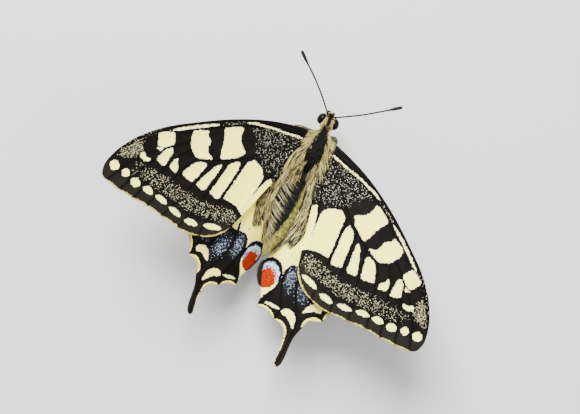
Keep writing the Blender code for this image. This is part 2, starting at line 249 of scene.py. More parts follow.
def add(tree, kind, inputs=(), **settings):
    """A shader node whose inputs are linked where they are given a socket and set where they are a value."""
    node = tree.nodes.new("ShaderNode" + kind)
    for name, value in settings.items():
        setattr(node, name, value)
    for name, value in dict(inputs).items():
        if isinstance(value, bpy.types.NodeSocket):
            tree.links.new(value, node.inputs[name])
        else:
            node.inputs[name].default_value = value
    return node


def mark_of(tree, name, output="Fac"):
    """The mark of this name that is kept on the piece's spots."""
    return add(tree, "Attribute", attribute_name=name).outputs[output]


def remap(tree, value, low, high, start=0.0, end=1.0):
    """Start where the value is at low or before it, end where it is at high or past it, and even between."""
    return add(tree, "MapRange", {0: value, 1: low, 2: high, 3: start, 4: end}).outputs[0]


def calc(tree, operation, a, b=0.0):
    """The operation named, worked on a and b."""
    return add(tree, "Math", {0: a, 1: b}, operation=operation).outputs[0]


def mix(tree, factor, a, b, kind="MIX"):
    """Colour a where the factor is 0, and b where it is 1."""
    colours = [(*c, 1) if isinstance(c, (tuple, np.ndarray)) else c for c in (a, b)]
    mixed = add(tree, "Mix", {0: factor, 6: colours[0], 7: colours[1]}, data_type="RGBA", blend_type=kind)
    return mixed.outputs[2]


def noise(tree, size, detail=3.0, squeeze=(1, 1, 1)):
    """Noise whose features are about size mm across, on the piece's own coordinates."""
    coordinates = add(tree, "TexCoord").outputs["Object"]
    mapped = add(tree, "Mapping", {"Vector": coordinates, "Scale": squeeze}).outputs[0]
    return add(tree, "TexNoise", {"Vector": mapped, "Scale": 1 / (size * MM), "Detail": detail}).outputs[0]


def bump(tree, shader, height, strength, distance):
    """Height in 0 to 1 stands distance mm proud."""
    node = add(tree, "Bump", {"Height": height, "Strength": strength, "Distance": distance * MM})
    tree.links.new(node.outputs[0], shader.inputs["Normal"])


def dress(tree, shader, colour, roughness, specular=0.5):
    """Joins a colour to the shader and sets how rough it is and how strongly it shines."""
    tree.links.new(colour, shader.inputs["Base Color"])
    shader.inputs["Roughness"].default_value = roughness
    shader.inputs["Specular IOR Level"].default_value = specular


def coat_material(name, roughness, spread):
    """Each tuft's own colour, lighter or darker by up to the spread from place to place."""
    made, tree, shader = new_material(name)
    own = mark_of(tree, "coat", "Color")
    patchy = remap(tree, noise(tree, 0.7), 0.3, 0.7, 1 - spread, 1 + spread)
    shade = add(tree, "CombineColor", {0: patchy, 1: patchy, 2: patchy}).outputs[0]
    dress(tree, shader, mix(tree, 1.0, own, shade, "MULTIPLY"), roughness, 0.12)
    bump(tree, shader, noise(tree, 0.12, squeeze=(1, 0.25, 1)), 0.5, 0.05)
    return made


skin_finish = coat_material("skin_with_flat_hair", 0.75, 0.25)
hair_finish = coat_material("body_hair", 0.62, 0.22)

rows, turns = np.mgrid[0:1:SKIN_ROWS * 1j, 0:SKIN_SIDES]
skin_y = SKIN_FRONT + SKIN_LENGTH * rows
skin_spots, skin_faces = ringed(skin_place(skin_y, turns / SKIN_SIDES))
# The skin carries the coat's markings, darkened as painted shade under the hair.
skin_colours = SKIN_PAINTED_SHADE * body_colour(skin_spots)
skin = make_piece("body_skin", skin_spots, skin_faces, [skin_finish], coat=skin_colours)
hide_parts("head", "thorax", "abdomen")


# ---- Body coat --------------------------------------------------------------------------------
# Hair in tapered tufts that lie backwards: short on the head, long and shaggy on the sides of the
# thorax, and short and flat, like scales, on the abdomen. On the face they hang down.

TUFT_STEPS = np.array([-0.04, 0.33, 0.68, 1.0])
TUFT_RISE = 1.5 * TUFT_STEPS - 0.9 * TUFT_STEPS * TUFT_STEPS
TUFT_THICKNESS = np.array([0.75, 1.0, 0.65])
TUFT_WIDTH, TUFT_DEPTH = 1.5, 0.8
TUFT_PATCH = 0.003
# Along each tuft from root ring to tip: darker at the root as painted shade among the hair, and lighter than
# its own colour at the tip as painted light.
TUFT_PAINTED_SHADING = np.array([0.15] * 3 + [0.6] * 3 + [1.0] * 3 + [1.2])


def tuft_mesh(name, lines, ups, radii, colours, patches, finish):
    """A closed three-sided blade along each line of four spots: a ring of three about each of the first
    three, and a tip at the last. On the unwrap each blade is a small patch at its root's place."""
    count = len(lines)
    heading = np.diff(lines, axis=1)
    side = unit(np.cross(heading, ups[:, None]))
    over = unit(np.cross(side, heading))
    angle = np.array([np.pi / 2, np.pi * 7 / 6, np.pi * 11 / 6])[:, None]
    ring = TUFT_WIDTH * np.cos(angle) * side[:, :, None] + TUFT_DEPTH * np.sin(angle) * over[:, :, None]
    thick = radii[:, None, None, None] * TUFT_THICKNESS[:, None, None]
    spots = np.concatenate([(lines[:, :3, None] + thick * ring).reshape(count, 9, 3), lines[:, 3:]], axis=1)
    strips = np.array([(3 * k + i, 3 * k + j, 3 * k + 3 + j, 3 * k + 3 + i)
                       for k in (0, 1) for i, j in ((0, 1), (1, 2), (2, 0))])
    caps = np.array([(6, 7, 9), (7, 8, 9), (8, 6, 9), (2, 1, 0)])
    spread = np.array([[-0.5, -0.5], [0, -0.5], [0.5, -0.5], [-0.5, -0.1], [0, -0.1], [0.5, -0.1],
                       [-0.5, 0.3], [0, 0.3], [0.5, 0.3], [0, 0.5]]) * TUFT_PATCH
    first = np.arange(count)[:, None, None] * 10
    groups = []
    for shape in (strips, caps):
        patch = patches[:, None, None] + spread[shape]
        groups.append(((first + shape).reshape(-1, shape.shape[1]), patch.reshape(-1, shape.shape[1], 2), 0))
    # Each tuft's colour, with painted shade at its root and painted light at its tip.
    coat = np.clip(colours[:, None] * TUFT_PAINTED_SHADING[:, None], 0, 1).reshape(-1, 3)
    return make_piece(name, spots.reshape(-1, 3), groups, [finish], coat=coat)


def skin_patch(y, turn):
    """The place on the skin's own unwrap: the turn against the way along the body."""
    return np.stack([turn, (y - SKIN_FRONT) / SKIN_LENGTH], axis=1)


def body_coat(name, count, reach, length, lift, spread, radius, seed):
    """Tufts at random places on the skin between two values of y. They lie backwards and outwards by
    spread, stand up by lift times their length, and sink back at their tips, as 1.5 t - 0.9 t^2."""
    dice = np.random.default_rng(seed)
    y = dice.uniform(*reach, count)
    turn = dice.uniform(0, 1, count)
    root, out = skin_place(y, turn), skin_normal(y, turn)
    long = length(y, turn) * dice.uniform(0.65, 1.2, count)
    back = np.array([0.0, 1.0, 0.0]) + spread * out * (1, 0, 0) + dice.normal(0, 0.17, (count, 3))
    lie = unit(back - np.einsum("ij,ij->i", back, out)[:, None] * out)
    rise = lift(y, turn)[:, None, None] * TUFT_RISE[:, None]
    lines = root[:, None] + long[:, None, None] * (lie[:, None] * TUFT_STEPS[:, None] + out[:, None] * rise)
    tone = dice.uniform(0.3, 1.3, (count, 1))
    colours = body_colour(root + 0.2 * lie + dice.normal(0, 0.16, (count, 3))) * tone
    radii = radius * dice.uniform(0.7, 1.4, count)
    return tuft_mesh(name, lines, out, radii, colours, skin_patch(y, turn), hair_finish)


def head_length(y, turn):
    """0.5 mm in front, growing to 0.9 mm towards the neck."""
    return 0.5 + 0.4 * ramp(y, -6.8, -5)


def head_lift(y, turn):
    """The brow's tuft stands up between the antennae, and the rest leans back."""
    return 0.45 + 0.9 * ramp(-6.9 - y, 0, 0.4) * ramp(turn, 0.3, 0.5) * ramp(1 - turn, 0.3, 0.5)


def thorax_length(y, turn):
    """Longest high on the sides and over the waist, shorter along the back, shaggy on the belly."""
    side = np.exp(-((np.abs(turn - 0.5) - 0.16) / 0.10) ** 2)
    belly = ramp(np.abs(turn - 0.5), 0.30, 0.42)
    return 0.85 + 1.4 * side * ramp(y, -4.5, -1.0) + 0.9 * ramp(y, 2.8, 4.2) + 0.5 * belly


def thorax_lift(y, turn):
    """Flattest along the back, steeper on the sides and steepest on the belly."""
    return 0.26 + 0.14 * ramp(np.abs(turn - 0.5), 0.1, 0.3) + 0.2 * ramp(np.abs(turn - 0.5), 0.30, 0.42)


def abdomen_length(y, turn):
    """1.55 mm at the waist, 0.75 mm along the middle and 0.55 mm at the tip."""
    return 0.75 - 0.2 * ramp(y, 15, 22) + 0.8 * ramp(6.5 - y, 0, 2)


def abdomen_lift(y, turn):
    """Nearly flat, and a little steeper at the waist."""
    return 0.12 + 0.16 * ramp(6.5 - y, 0, 2)


def face_coat(count, seed):
    """Short tufts on the flat front of the skin, at even random places of its oval. They hang down over
    the mouth and spread to the sides."""
    dice = np.random.default_rng(seed)
    y, middle, half_width, half_height = SKIN_STATIONS[0]
    turn, way_out = dice.uniform(0, 1, count), np.sqrt(dice.uniform(0, 1, count))
    across = half_width * way_out * np.cos(2 * np.pi * turn)
    up = middle + half_height * way_out * np.sin(2 * np.pi * turn)
    root = np.stack([across, np.full(count, y), up], axis=1)
    lie = unit(np.stack([1.2 * across, np.full(count, -0.35), np.full(count, -0.9)], axis=1)
               + dice.normal(0, 0.15, (count, 3)))
    long = dice.uniform(0.3, 0.6, count)[:, None, None]
    rise = np.array([0, -1, 0]) * 0.5 * TUFT_RISE[:, None]
    lines = root[:, None] + long * (lie[:, None] * TUFT_STEPS[:, None] + rise)
    colours = body_colour(root) * dice.uniform(0.4, 1.3, (count, 1))
    ups = np.tile((0.0, -1.0, 0.0), (count, 1))
    patches = skin_patch(np.full(count, y + 0.1), turn)
    return tuft_mesh("face_hair", lines, ups, np.full(count, 0.032), colours, patches, hair_finish)


coats = [face_coat(450, 4),
         body_coat("head_hair", 3200, (-7.6, -4.3), head_length, head_lift, 0.25, 0.034, 1),
         body_coat("thorax_hair", 6500, (-4.4, 4.6), thorax_length, thorax_lift, 0.45, 0.046, 2),
         body_coat("abdomen_hair", 8500, (4.0, 21.9), abdomen_length, abdomen_lift, 0.1, 0.042, 3)]


# ---- Eyes -------------------------------------------------------------------------------------
# Two large domes of fine lenses, nearly black and glossy, set into the sides of the head where the
# solids have them.

EYE_RADII = np.array([0.92, 1.15, 1.25])
EYE_TURN = np.radians(14)
EYE_ROWS, EYE_SIDES = 40, 64
LENS_SIZE = 0.055
SIDES = {"left": 1, "right": -1}

eye_finish, tree, shader = new_material("eye_lens")
coordinates = add(tree, "TexCoord").outputs["Object"]
lens = add(tree, "TexVoronoi", {"Vector": coordinates, "Scale": 1 / (LENS_SIZE * MM)})
dusky = mix(tree, noise(tree, 0.8), (0.001, 0.001, 0.0012), (0.004, 0.003, 0.003))
dress(tree, shader, dusky, 0.16, 0.06)
bump(tree, shader, calc(tree, "SUBTRACT", 1.0, lens.outputs["Distance"]), 0.35, 0.02)

for side, sign in SIDES.items():
    # A ball with its poles to the sides: sin, cos cos and cos sin of two angles, times the three radii. It is
    # then turned about the upright.
    up, around = np.mgrid[0.03:0.97:EYE_ROWS * 1j, 0:EYE_SIDES]
    up, around = np.pi * (up - 0.5), 2 * np.pi * around / EYE_SIDES
    ball = np.stack([np.sin(up), np.cos(up) * np.cos(around), np.cos(up) * np.sin(around)], axis=-1)
    ball = ball * EYE_RADII
    cosine, sine = np.cos(-sign * EYE_TURN), np.sin(-sign * EYE_TURN)
    ball = ball @ np.array([[cosine, sine, 0], [-sine, cosine, 0], [0, 0, 1]])
    spots, faces = ringed(ball + EYE_MIDDLE * (sign, 1, 1))
    eye = make_piece(f"eye_dome_{side}", spots, faces, [eye_finish])
    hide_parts(f"eye_{side}")


# ---- Antennae and tongue ----------------------------------------------------------------------
# Each antenna is a thread of some forty rings, black with a thin pale edge to each ring, that
# thickens to a club. The tongue is a dark horny straw, coiled like a watch spring under the head.

ANTENNAE = {"left": [(0.75, -7.3, 8.75), (3.75, -10.2, 9.9), (6.6, -12.55, 11.1), (9.4, -14.6, 11.9),
                     (10.85, -15.75, 12.2)],
            "right": [(-0.7, -7.35, 8.75), (-5.3, -10.2, 10.2), (-8.4, -12.45, 11.1), (-10.3, -13.9, 11.6),
                      (-11.1, -14.5, 11.8)]}
ANTENNA_RINGS, ANTENNA_SIDES, ANTENNA_RADIUS = 38, 12, 0.165
TONGUE_SIDES, TONGUE_RADIUS, TONGUE_TAPER = 10, 0.12, 0.05
TONGUE_MIDDLE, TONGUE_TURNS, TONGUE_INSIDE, TONGUE_OUTSIDE = (0.0, -7.2, 4.35), 2.1, 0.25, 0.95


def tube(path, radii, sides, up):
    """Rings of spots about a path, square to it: the radius times the cosine along one side and the sine
    along the other, where the sides are cross products with a steady up direction."""
    heading = unit(np.gradient(path, axis=0))
    side = unit(np.cross(heading, up))
    over = np.cross(side, heading)
    angle = np.linspace(0, 2 * np.pi, sides, endpoint=False)[None, :, None]
    ring = np.cos(angle) * side[:, None] + np.sin(angle) * over[:, None]
    return path[:, None] + radii[:, None, None] * ring


def ring_values(values, sides):
    """Each ring's value at all of its spots, and 0 at the two end spots."""
    return np.append(np.repeat(values, sides), [0, 0])


def horn_material(name, dark, pale, roughness, specular=0.5):
    """Horn that is dark, with pale where the piece's own ring mark is high."""
    made, tree, shader = new_material(name)
    mottled = mix(tree, noise(tree, 0.5), dark, tuple(1.9 * c for c in dark))
    dress(tree, shader, mix(tree, mark_of(tree, "ring"), mottled, pale), roughness, specular)
    bump(tree, shader, noise(tree, 0.08), 0.4, 0.02)
    return made


antenna_finish = horn_material("antenna_horn", (0.003, 0.0025, 0.002), (0.05, 0.043, 0.03), 0.5, 0.1)
for side in SIDES:
    path = curve_through(ANTENNAE[side], 220)
    along = np.linspace(0, 1, len(path))
    beat = (along * ANTENNA_RINGS) % 1
    club = ramp(along, 0.76, 0.92)
    waist = 1 - 0.12 * np.exp(-(np.minimum(beat, 1 - beat) / 0.12) ** 2)
    radii = (ANTENNA_RADIUS + ANTENNA_RADIUS * club * (1 - 0.55 * ramp(along, 0.97, 1.0))) * waist
    radii *= 1 + 0.6 * ramp(0.03 - along, 0, 0.03)
    spots, faces = ringed(tube(path, radii, ANTENNA_SIDES, (0, 0, 1)))
    pale = np.exp(-((beat - 0.12) / 0.12) ** 2) * (1 - 0.75 * club) * ramp(along, 0.02, 0.06)
    antenna = make_piece(f"antenna_thread_{side}", spots, faces, [antenna_finish],
                         ring=ring_values(pale, ANTENNA_SIDES))
    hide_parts(f"antenna_{side}")

tongue_finish = horn_material("tongue_horn", (0.012, 0.007, 0.004), (0.07, 0.04, 0.02), 0.35)
# The coil is a spiral: its reach from the middle shrinks evenly with the turn.
wind = np.linspace(0, 1, 200)
angle = np.pi * (0.5 + 2 * TONGUE_TURNS * (1 - wind))
reach = TONGUE_INSIDE + (TONGUE_OUTSIDE - TONGUE_INSIDE) * (1 - wind)
coil = np.stack([0 * wind, -reach * np.cos(angle), reach * np.sin(angle)], axis=1) + TONGUE_MIDDLE
spots, faces = ringed(tube(coil, TONGUE_RADIUS - TONGUE_TAPER * wind, TONGUE_SIDES, (1, 0, 0)))
tongue = make_piece("tongue", spots, faces, [tongue_finish],
                    ring=ring_values(0.5 + 0.5 * np.sin(wind * 260), TONGUE_SIDES))
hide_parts("proboscis")


# ---- Palps ------------------------------------------------------------------------------------
# Two short feelers that rise in front of the face, each a slim jointed horn dressed in pale
# yellow bristly hair.

PALP = [(0.54, -7.1, 5.0), (0.54, -7.65, 5.2), (0.52, -8.0, 5.8), (0.46, -8.05, 6.6)]
PALP_RADIUS, PALP_STEPS, PALP_SIDES, PALP_TUFTS = 0.20, 40, 10, 700


def straight(root, long, way):
    """Four spots along each straight tuft, from its root on the given way."""
    return root[:, None] + (long * TUFT_STEPS)[..., None] * way[:, None]


palp_finish = coat_material("palp_skin", 0.6, 0.2)
for side, sign in SIDES.items():
    path = curve_through(PALP, PALP_STEPS) * (sign, 1, 1)
    along = np.linspace(0, 1, len(path))
    radii = PALP_RADIUS * (1 - 0.6 * along ** 3) * (1 - 0.15 * np.exp(-((along - 0.55) / 0.05) ** 2))
    rings = tube(path, radii, PALP_SIDES, (1, 0, 0))
    spots, faces = ringed(rings)
    sooty = np.tile(3 * SOOT, (len(spots), 1))
    palp = make_piece(f"palp_horn_{side}", spots, faces, [palp_finish], coat=sooty)
    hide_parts(f"palp_{side}")

    dice = np.random.default_rng(20 + sign)
    row = dice.integers(1, PALP_STEPS - 2, PALP_TUFTS)
    around = dice.integers(0, PALP_SIDES, PALP_TUFTS)
    root = rings[row, around]
    out = unit(root - path[row])
    lie = unit(path[row + 2] - path[row])
    long = dice.uniform(0.25, 0.5, (PALP_TUFTS, 1))
    lines = straight(root, long, lie + 0.5 * out)
    tip = ramp(row / PALP_STEPS + dice.normal(0, 0.12, PALP_TUFTS), 0.55, 0.8)[:, None]
    colours = (STRAW * (1 - tip) + SOOT * tip) * dice.uniform(0.5, 1.3, (PALP_TUFTS, 1))
    radii = np.full(PALP_TUFTS, 0.028)
    patches = np.stack([around / PALP_SIDES, row / PALP_STEPS], axis=1)
    hair = tuft_mesh(f"palp_hair_{side}", lines, out, radii, colours, patches, hair_finish)


# ---- Legs -------------------------------------------------------------------------------------
# Six legs of dark horn: a stout thigh with pale hair that hangs from a joint under the thorax, a shin
# with a spur and thin spines, and a foot of five short segments, with two claws, flat on the floor.

# Hip, knee, ankle and the place where the foot comes down.
LEGS = {("front", "left"): [(1.0, -3.2, 4.9), (4.4, -3.0, 5.9), (6.3, -2.1, 3.0), (8.3, -0.9, 0.22)],
        ("front", "right"): [(-1.0, -3.2, 4.9), (-2.95, -3.9, 5.3), (-3.9, -2.9, 2.5), (-5.3, -1.2, 0.22)],
        ("middle", "left"): [(1.3, -0.2, 4.45), (6.4, 0.6, 6.4), (9.6, 1.8, 3.0), (13.2, 3.4, 0.22)],
        ("middle", "right"): [(-1.3, -0.2, 4.45), (-6.4, 0.6, 6.4), (-9.2, 2.1, 3.0), (-12.6, 3.9, 0.22)],
        ("hind", "left"): [(1.2, 2.3, 4.75), (5.2, 6.0, 6.0), (7.4, 11.2, 3.2), (9.6, 16.2, 0.22)],
        ("hind", "right"): [(-1.2, 2.3, 4.75), (-5.2, 6.0, 6.0), (-7.7, 10.8, 3.2), (-10.1, 15.6, 0.22)]}
FOOT_REST = 2.6
HIP_DEPTH = 1.8
KNEE_BEND = 0.22
# Along a leg from hip (0) to toe (1): the way and the radius.
LEG_PROFILE = [
    (-0.10, 0.62), (-0.03, 0.55), (0.0, 0.42), (0.06, 0.44), (0.28, 0.36), (0.34, 0.25), (0.38, 0.27),
    (0.62, 0.22), (0.67, 0.24), (0.69, 0.17), (1.0, 0.14)]
LEG_SIDES, LEG_STEPS = 12, 160
FOOT_START, FOOT_SHARE, FOOT_SEGMENTS = 0.70, 0.30, 5
THIGH_HAIRS, SHIN_SPINES = 760, 130


def quadratic(start, middle, end, t):
    """The curve from start to end, drawn towards the middle: start (1-t)^2 + 2 middle t (1-t) + end t^2."""
    return start * (1 - t) ** 2 + 2 * middle * t * (1 - t) + end * t ** 2


def leg_path(corners):
    """From inside the thorax to hip, knee, ankle and toe, with each bend a quadratic curve, and the foot
    lying along the floor. Also gives the share of the way from hip to toe at each spot."""
    corners = np.array(corners)
    socket = corners[0] + HIP_DEPTH * unit(np.array([-0.25 * np.sign(corners[0, 0]), 0.0, 1.0]))
    foot = (corners[3] - corners[2]) * (1, 1, 0)
    corners = np.concatenate([[socket], corners, [corners[3] + FOOT_REST * unit(foot)]])
    t = np.linspace(0, 1, 9)[:, None]
    line = [corners[:1]]
    for before, corner, after in zip(corners, corners[1:], corners[2:]):
        start, end = corner + KNEE_BEND * (before - corner), corner + KNEE_BEND * (after - corner)
        line.append(quadratic(start, corner, end, t))
    line = np.concatenate([*line, corners[-1:]])
    at = way_along(line)
    even = np.linspace(0, at[-1], LEG_STEPS)
    return sampled(even, at, line), (even - HIP_DEPTH) / (at[-1] - HIP_DEPTH)


leg_finish = horn_material("leg_horn", (0.010, 0.008, 0.006), (0.17, 0.14, 0.065), 0.45)
bristle_finish = coat_material("leg_bristle", 0.5, 0.2)
for number, ((which, side), corners) in enumerate(LEGS.items()):
    path, along = leg_path(corners)
    ankle, past_ankle = np.searchsorted(along, (0.65, 0.74))
    foot = ramp(along, FOOT_START, 0.74)
    beat = np.clip((along - FOOT_START) / FOOT_SHARE, 0, 1) * FOOT_SEGMENTS
    joint = np.exp(-((beat - np.round(beat)) / 0.09) ** 2) * foot
    radii = np.interp(along, *np.transpose(LEG_PROFILE)) * (1 - 0.22 * joint)
    settle = ramp(along, 0.80, 0.86)
    path[:, 2] = path[:, 2] * (1 - settle) + radii * settle
    hip, knee, shin_end = np.array(corners[:3])
    plane = unit(np.cross(knee - hip, shin_end - knee))
    rings = tube(path, radii, LEG_SIDES, plane)
    rings[..., 2] = np.maximum(rings[..., 2], 0.0)
    spots, faces = ringed(rings)
    pale = np.maximum(0.8 * ramp(0.33 - along, 0, 0.06), 0.35 * joint)
    leg = make_piece(f"leg_horn_{which}_{side}", spots, faces, [leg_finish],
                     ring=ring_values(pale, LEG_SIDES))
    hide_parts(f"leg_{which}_{side}")

    # Fine hair on the thigh, spines down the shin and foot, a spur and two claws, all as small blades.
    dice = np.random.default_rng(40 + number)
    thigh = np.repeat([True, False], (THIGH_HAIRS, SHIN_SPINES))[:, None]
    row = np.searchsorted(along, dice.uniform(*np.where(thigh, (-0.11, 0.31), (0.35, 0.94)).T))
    around = dice.integers(0, LEG_SIDES, len(row))
    root = rings[row, around]
    out = unit(root - path[row])
    lie = unit(path[row + 4] - path[row])
    long = np.where(thigh, 0.56, 0.34) * dice.uniform(0.6, 1.3, (len(row), 1))
    stand = np.where(thigh, 0.2, 0.7)
    lines = straight(root, long, lie + stand * out)
    lines[..., 2] = np.maximum(lines[..., 2], 0.02)
    sooty = ~thigh | (dice.random((len(row), 1)) < 0.25 + 0.5 * (out[:, 2:] > 0.3))
    colours = np.where(sooty, 2 * SOOT, 0.8 * STRAW) * dice.uniform(0.4, 1.3, (len(row), 1))
    toe, ahead = path[-1], unit(path[-1] - path[-8])
    beside = np.cross(ahead, (0, 0, 1))
    claws = [toe + np.outer((0, 0.16, 0.28, 0.33), ahead) + np.outer((0, 0.10, 0.17, 0.19), turn * beside)
             + np.outer((0, 0.05, 0.0, -0.10), (0, 0, 1)) for turn in (-1, 1)]
    outwards = np.sign(toe[0])
    spur = path[ankle] + np.outer((0.0, 0.3, 0.6, 0.9), path[past_ankle] - path[ankle])
    spur = spur + np.outer((0.1, 0.35, 0.5, 0.6), (0.3 * outwards, 0.2, -0.5))
    lines = np.concatenate([lines, claws, spur[None]])
    ups = np.concatenate([out, [(0, 0, 1)] * 2, [plane]])
    radii = np.concatenate([np.where(thigh[:, 0], 0.034, 0.018), [0.05, 0.05, 0.055]])
    colours = np.concatenate([colours, [2 * SOOT] * 3])
    toe_row = LEG_STEPS - 2
    across = np.append(around, [0, 0, 0]) / LEG_SIDES
    patches = np.stack([across, np.append(row, [toe_row, toe_row, ankle]) / LEG_STEPS], axis=1)
    bristles = tuft_mesh(f"leg_bristles_{which}_{side}", lines, ups, radii, colours, patches, bristle_finish)


# ---- Wing membranes ---------------------------------------------------------------------------
# Each wing is a film stretched between stiff veins and tiled on both sides with scales, like roof
# slates. It is laid as rulings between its front and rear margins, and pleats up to each vein.

MEMBRANE = 0.16
PLEAT, PLEAT_REACH = 0.09, 0.7
FOREWING_LENGTH = 41.0
TAIL_START = 31.0

# A wing's pose: its side, its hinge, its turn rearwards, and how steeply it rises outwards and rearwards.
FOREWING_POSE = {"left": (1, (3.3, -2.3, 9.8), 34.6, 22.3, 2.0),
                 "right": (-1, (3.4, -1.9, 9.8), 42.0, 14.0, 1.5)}
HINDWING_POSE = {"left": (1, (3.2, -0.3, 9.1), 78.6, 20.8, 0.3),
                 "right": (-1, (2.9, 1.2, 9.1), 76.0, 12.8, 0.0)}
# How far the hindwing's inner edge curls down, and how far the tip of its tail lies from the drawn place.
HINDWING_TUCK = {"left": 2.3, "right": 1.4}
TAIL_CHANGE = {"left": (-1.2, 0.85), "right": (0.0, 0.0)}

# The margins, from the root outwards. Along the outer ones each stretch between two vein ends is bowed
# inwards by its scallop.
FOREWING_FRONT = [
    (-0.7, -0.5), (2.9, -2.0), (7.5, -3.5), (14.5, -4.85), (22.5, -5.45), (29.0, -5.4), (34.3, -4.3),
    (38.4, -2.2), (40.4, -0.3), (41.0, 1.1)]
FOREWING_INNER = [(1.1, 1.9), (3.6, 5.2), (8.3, 8.6), (13.6, 12.6), (17.5, 15.4)]
FOREWING_OUTER_VEINS = [
    (17.5, 15.4), (24.2, 15.6), (27.9, 13.4), (30.8, 10.8), (33.5, 8.3), (35.9, 6.6), (38.3, 4.6),
    (40.4, 2.5), (41.0, 1.1)]
FOREWING_SCALLOPS = [-0.75, -0.25, 0.1, 0.1, 0.1, 0.1, 0.0, -0.15]
HINDWING_COSTA = [(-0.4, -2.2), (1.6, -5.4), (5.5, -10.2), (10.8, -14.6), (16.2, -16.6)]
HINDWING_FRONT_VEINS = [(16.2, -16.6), (21.6, -14.3), (26.0, -9.8), (29.8, -5.0), (32.0, -1.3)]
HINDWING_FRONT_SCALLOPS = [-0.6, 0.15, 0.75, 1.0]
TAIL_OUTER = [(32.0, -1.3), (33.8, -0.3), (36.0, 0.3), (38.2, 0.8), (39.5, 1.35), (40.0, 1.95)]
HINDWING_INNER = [
    (-0.4, -0.2), (3.2, 0.9), (8.6, 2.2), (13.0, 3.1), (16.6, 4.7), (19.2, 7.3), (21.6, 8.6), (24.4, 8.4),
    (26.8, 7.6), (29.1, 7.9)]
HINDWING_REAR_VEINS = [(29.1, 7.9), (31.1, 4.1), (34.6, 1.75)]
HINDWING_REAR_SCALLOPS = [0.5, 1.05]
TAIL_INNER = [(34.6, 1.75), (36.6, 1.95), (38.4, 2.4), (39.5, 2.5), (40.0, 1.95)]

FOREWING_VEINS = {
    "costa": [(0.2, -0.2), (3.2, -1.7), (7.6, -3.15), (14.5, -4.5), (22.5, -5.1), (29.0, -5.05),
              (34.2, -4.0)],
    "subcosta": [(0.8, 0.2), (7.0, -2.6), (14.0, -4.1), (20.0, -4.7), (25.0, -5.0)],
    "radius": [(0.9, 0.4), (7.0, -2.0), (13.0, -3.6), (19.0, -4.2), (26.0, -4.5), (31.5, -4.5)],
    "cell_front": [(1.2, 0.6), (11.2, -2.9), (16.2, -3.8), (22.8, -3.8)],
    "r3": [(22.8, -3.8), (28.0, -4.4), (32.9, -4.0), (36.8, -2.9)],
    "r4": [(23.4, -2.2), (26.8, -1.85), (31.1, -1.5), (34.5, -0.6), (40.4, 2.5)],
    "r5": [(23.6, -1.9), (26.3, -1.9), (30.8, 0.0), (38.3, 4.6)],
    "m1": [(23.7, -0.8), (25.8, 0.0), (28.7, 1.6), (35.9, 6.6)],
    "cell_end": [(22.8, -3.8), (23.6, -1.9), (23.8, -0.4), (22.9, 1.1)],
    "m2": [(22.9, 1.1), (26.3, 3.2), (33.5, 8.3)],
    "cell_rear": [(0.9, 1.0), (10.3, 2.5), (13.6, 2.75), (18.4, 2.3), (22.9, 1.1)],
    "m3": [(19.5, 2.0), (23.6, 5.4), (30.8, 10.8)],
    "cua1": [(16.3, 2.6), (21.0, 7.4), (27.9, 13.4)],
    "cua2": [(12.5, 2.8), (18.5, 9.1), (24.2, 15.6)],
    "anal": [(0.9, 1.4), (6.8, 6.0), (9.1, 7.5), (12.7, 10.1), (17.3, 14.9)]}
HINDWING_VEINS = {
    "costa": [(0.0, -1.6), (4.0, -6.6), (9.0, -11.8), (16.0, -16.2)],
    "rs": [(2.5, -2.4), (9.0, -7.6), (15.0, -11.6), (21.6, -14.3)],
    "cell_front": [(0.5, -1.0), (6.0, -3.9), (12.0, -5.3)],
    "m1": [(12.0, -5.3), (19.0, -6.4), (26.0, -9.8)],
    "cell_end": [(12.0, -5.3), (14.8, -3.5), (16.3, -1.6), (16.0, 0.7)],
    "m2": [(14.8, -3.5), (20.0, -2.6), (25.0, -2.7), (29.8, -5.0)],
    "m3": [(16.3, -1.4), (20.5, 0.2), (23.9, 1.1), (26.5, 0.7), (31.5, -0.2), (33.8, 0.4), (36.5, 1.1),
           (39.0, 1.9)],
    "cell_rear": [(0.4, -0.8), (8.0, 0.2), (13.0, 0.8), (16.0, 0.7)],
    "cua1": [(15.0, 0.8), (19.5, 2.4), (22.5, 3.8), (26.0, 3.7), (29.0, 3.3), (31.1, 4.1)],
    "cua2": [(10.5, 0.5), (17.0, 2.6), (21.8, 4.1), (25.1, 5.0), (28.1, 7.0), (29.1, 7.9)],
    "anal": [(0.5, -0.5), (7.0, 1.1), (13.0, 2.2), (17.2, 4.3), (20.0, 6.9)]}


def scalloped(ends, depths, count):
    """A margin from vein end to vein end, each stretch bowed inwards by its depth (outwards if negative)."""
    ends = np.array(ends, float)
    middle = ends.mean(axis=0) - np.array([8.0, 0.0])
    t = np.linspace(0, 1, count + 1)[:, None]
    pieces = []
    for start, end, depth in zip(ends[:-1], ends[1:], depths):
        along = (end - start) / np.linalg.norm(end - start)
        inward = np.array([-along[1], along[0]])
        inward *= np.sign(inward @ (middle - start))
        pieces.append(start + (end - start) * t + inward * depth * np.sin(np.pi * t) ** 0.8)
    return pieces


def joined(*curves):
    """One line of curves that follow each other, with each shared spot kept once."""
    return np.concatenate([c[:-1] for c in curves[:-1]] + [curves[-1]])


def forewing_margins(fine):
    """Front and rear edge of the forewing from root to apex, with equal counts of spots."""
    front = curve_through(FOREWING_FRONT, 24 * fine)
    rear = joined(curve_through(FOREWING_INNER, 8 * fine),
                  *scalloped(FOREWING_OUTER_VEINS, FOREWING_SCALLOPS, 2 * fine))
    return front, rear


def hindwing_margins(fine):
    """Front and rear edge of the hindwing from root to the tip of the tail, with equal counts of spots."""
    front = joined(curve_through(HINDWING_COSTA, 8 * fine),
                   *scalloped(HINDWING_FRONT_VEINS, HINDWING_FRONT_SCALLOPS, 5 * fine),
                   curve_through(TAIL_OUTER, 6 * fine))
    rear = joined(curve_through(HINDWING_INNER, 18 * fine),
                  *scalloped(HINDWING_REAR_VEINS, HINDWING_REAR_SCALLOPS, 5 * fine),
                  curve_through(TAIL_INNER, 6 * fine))
    return front, rear


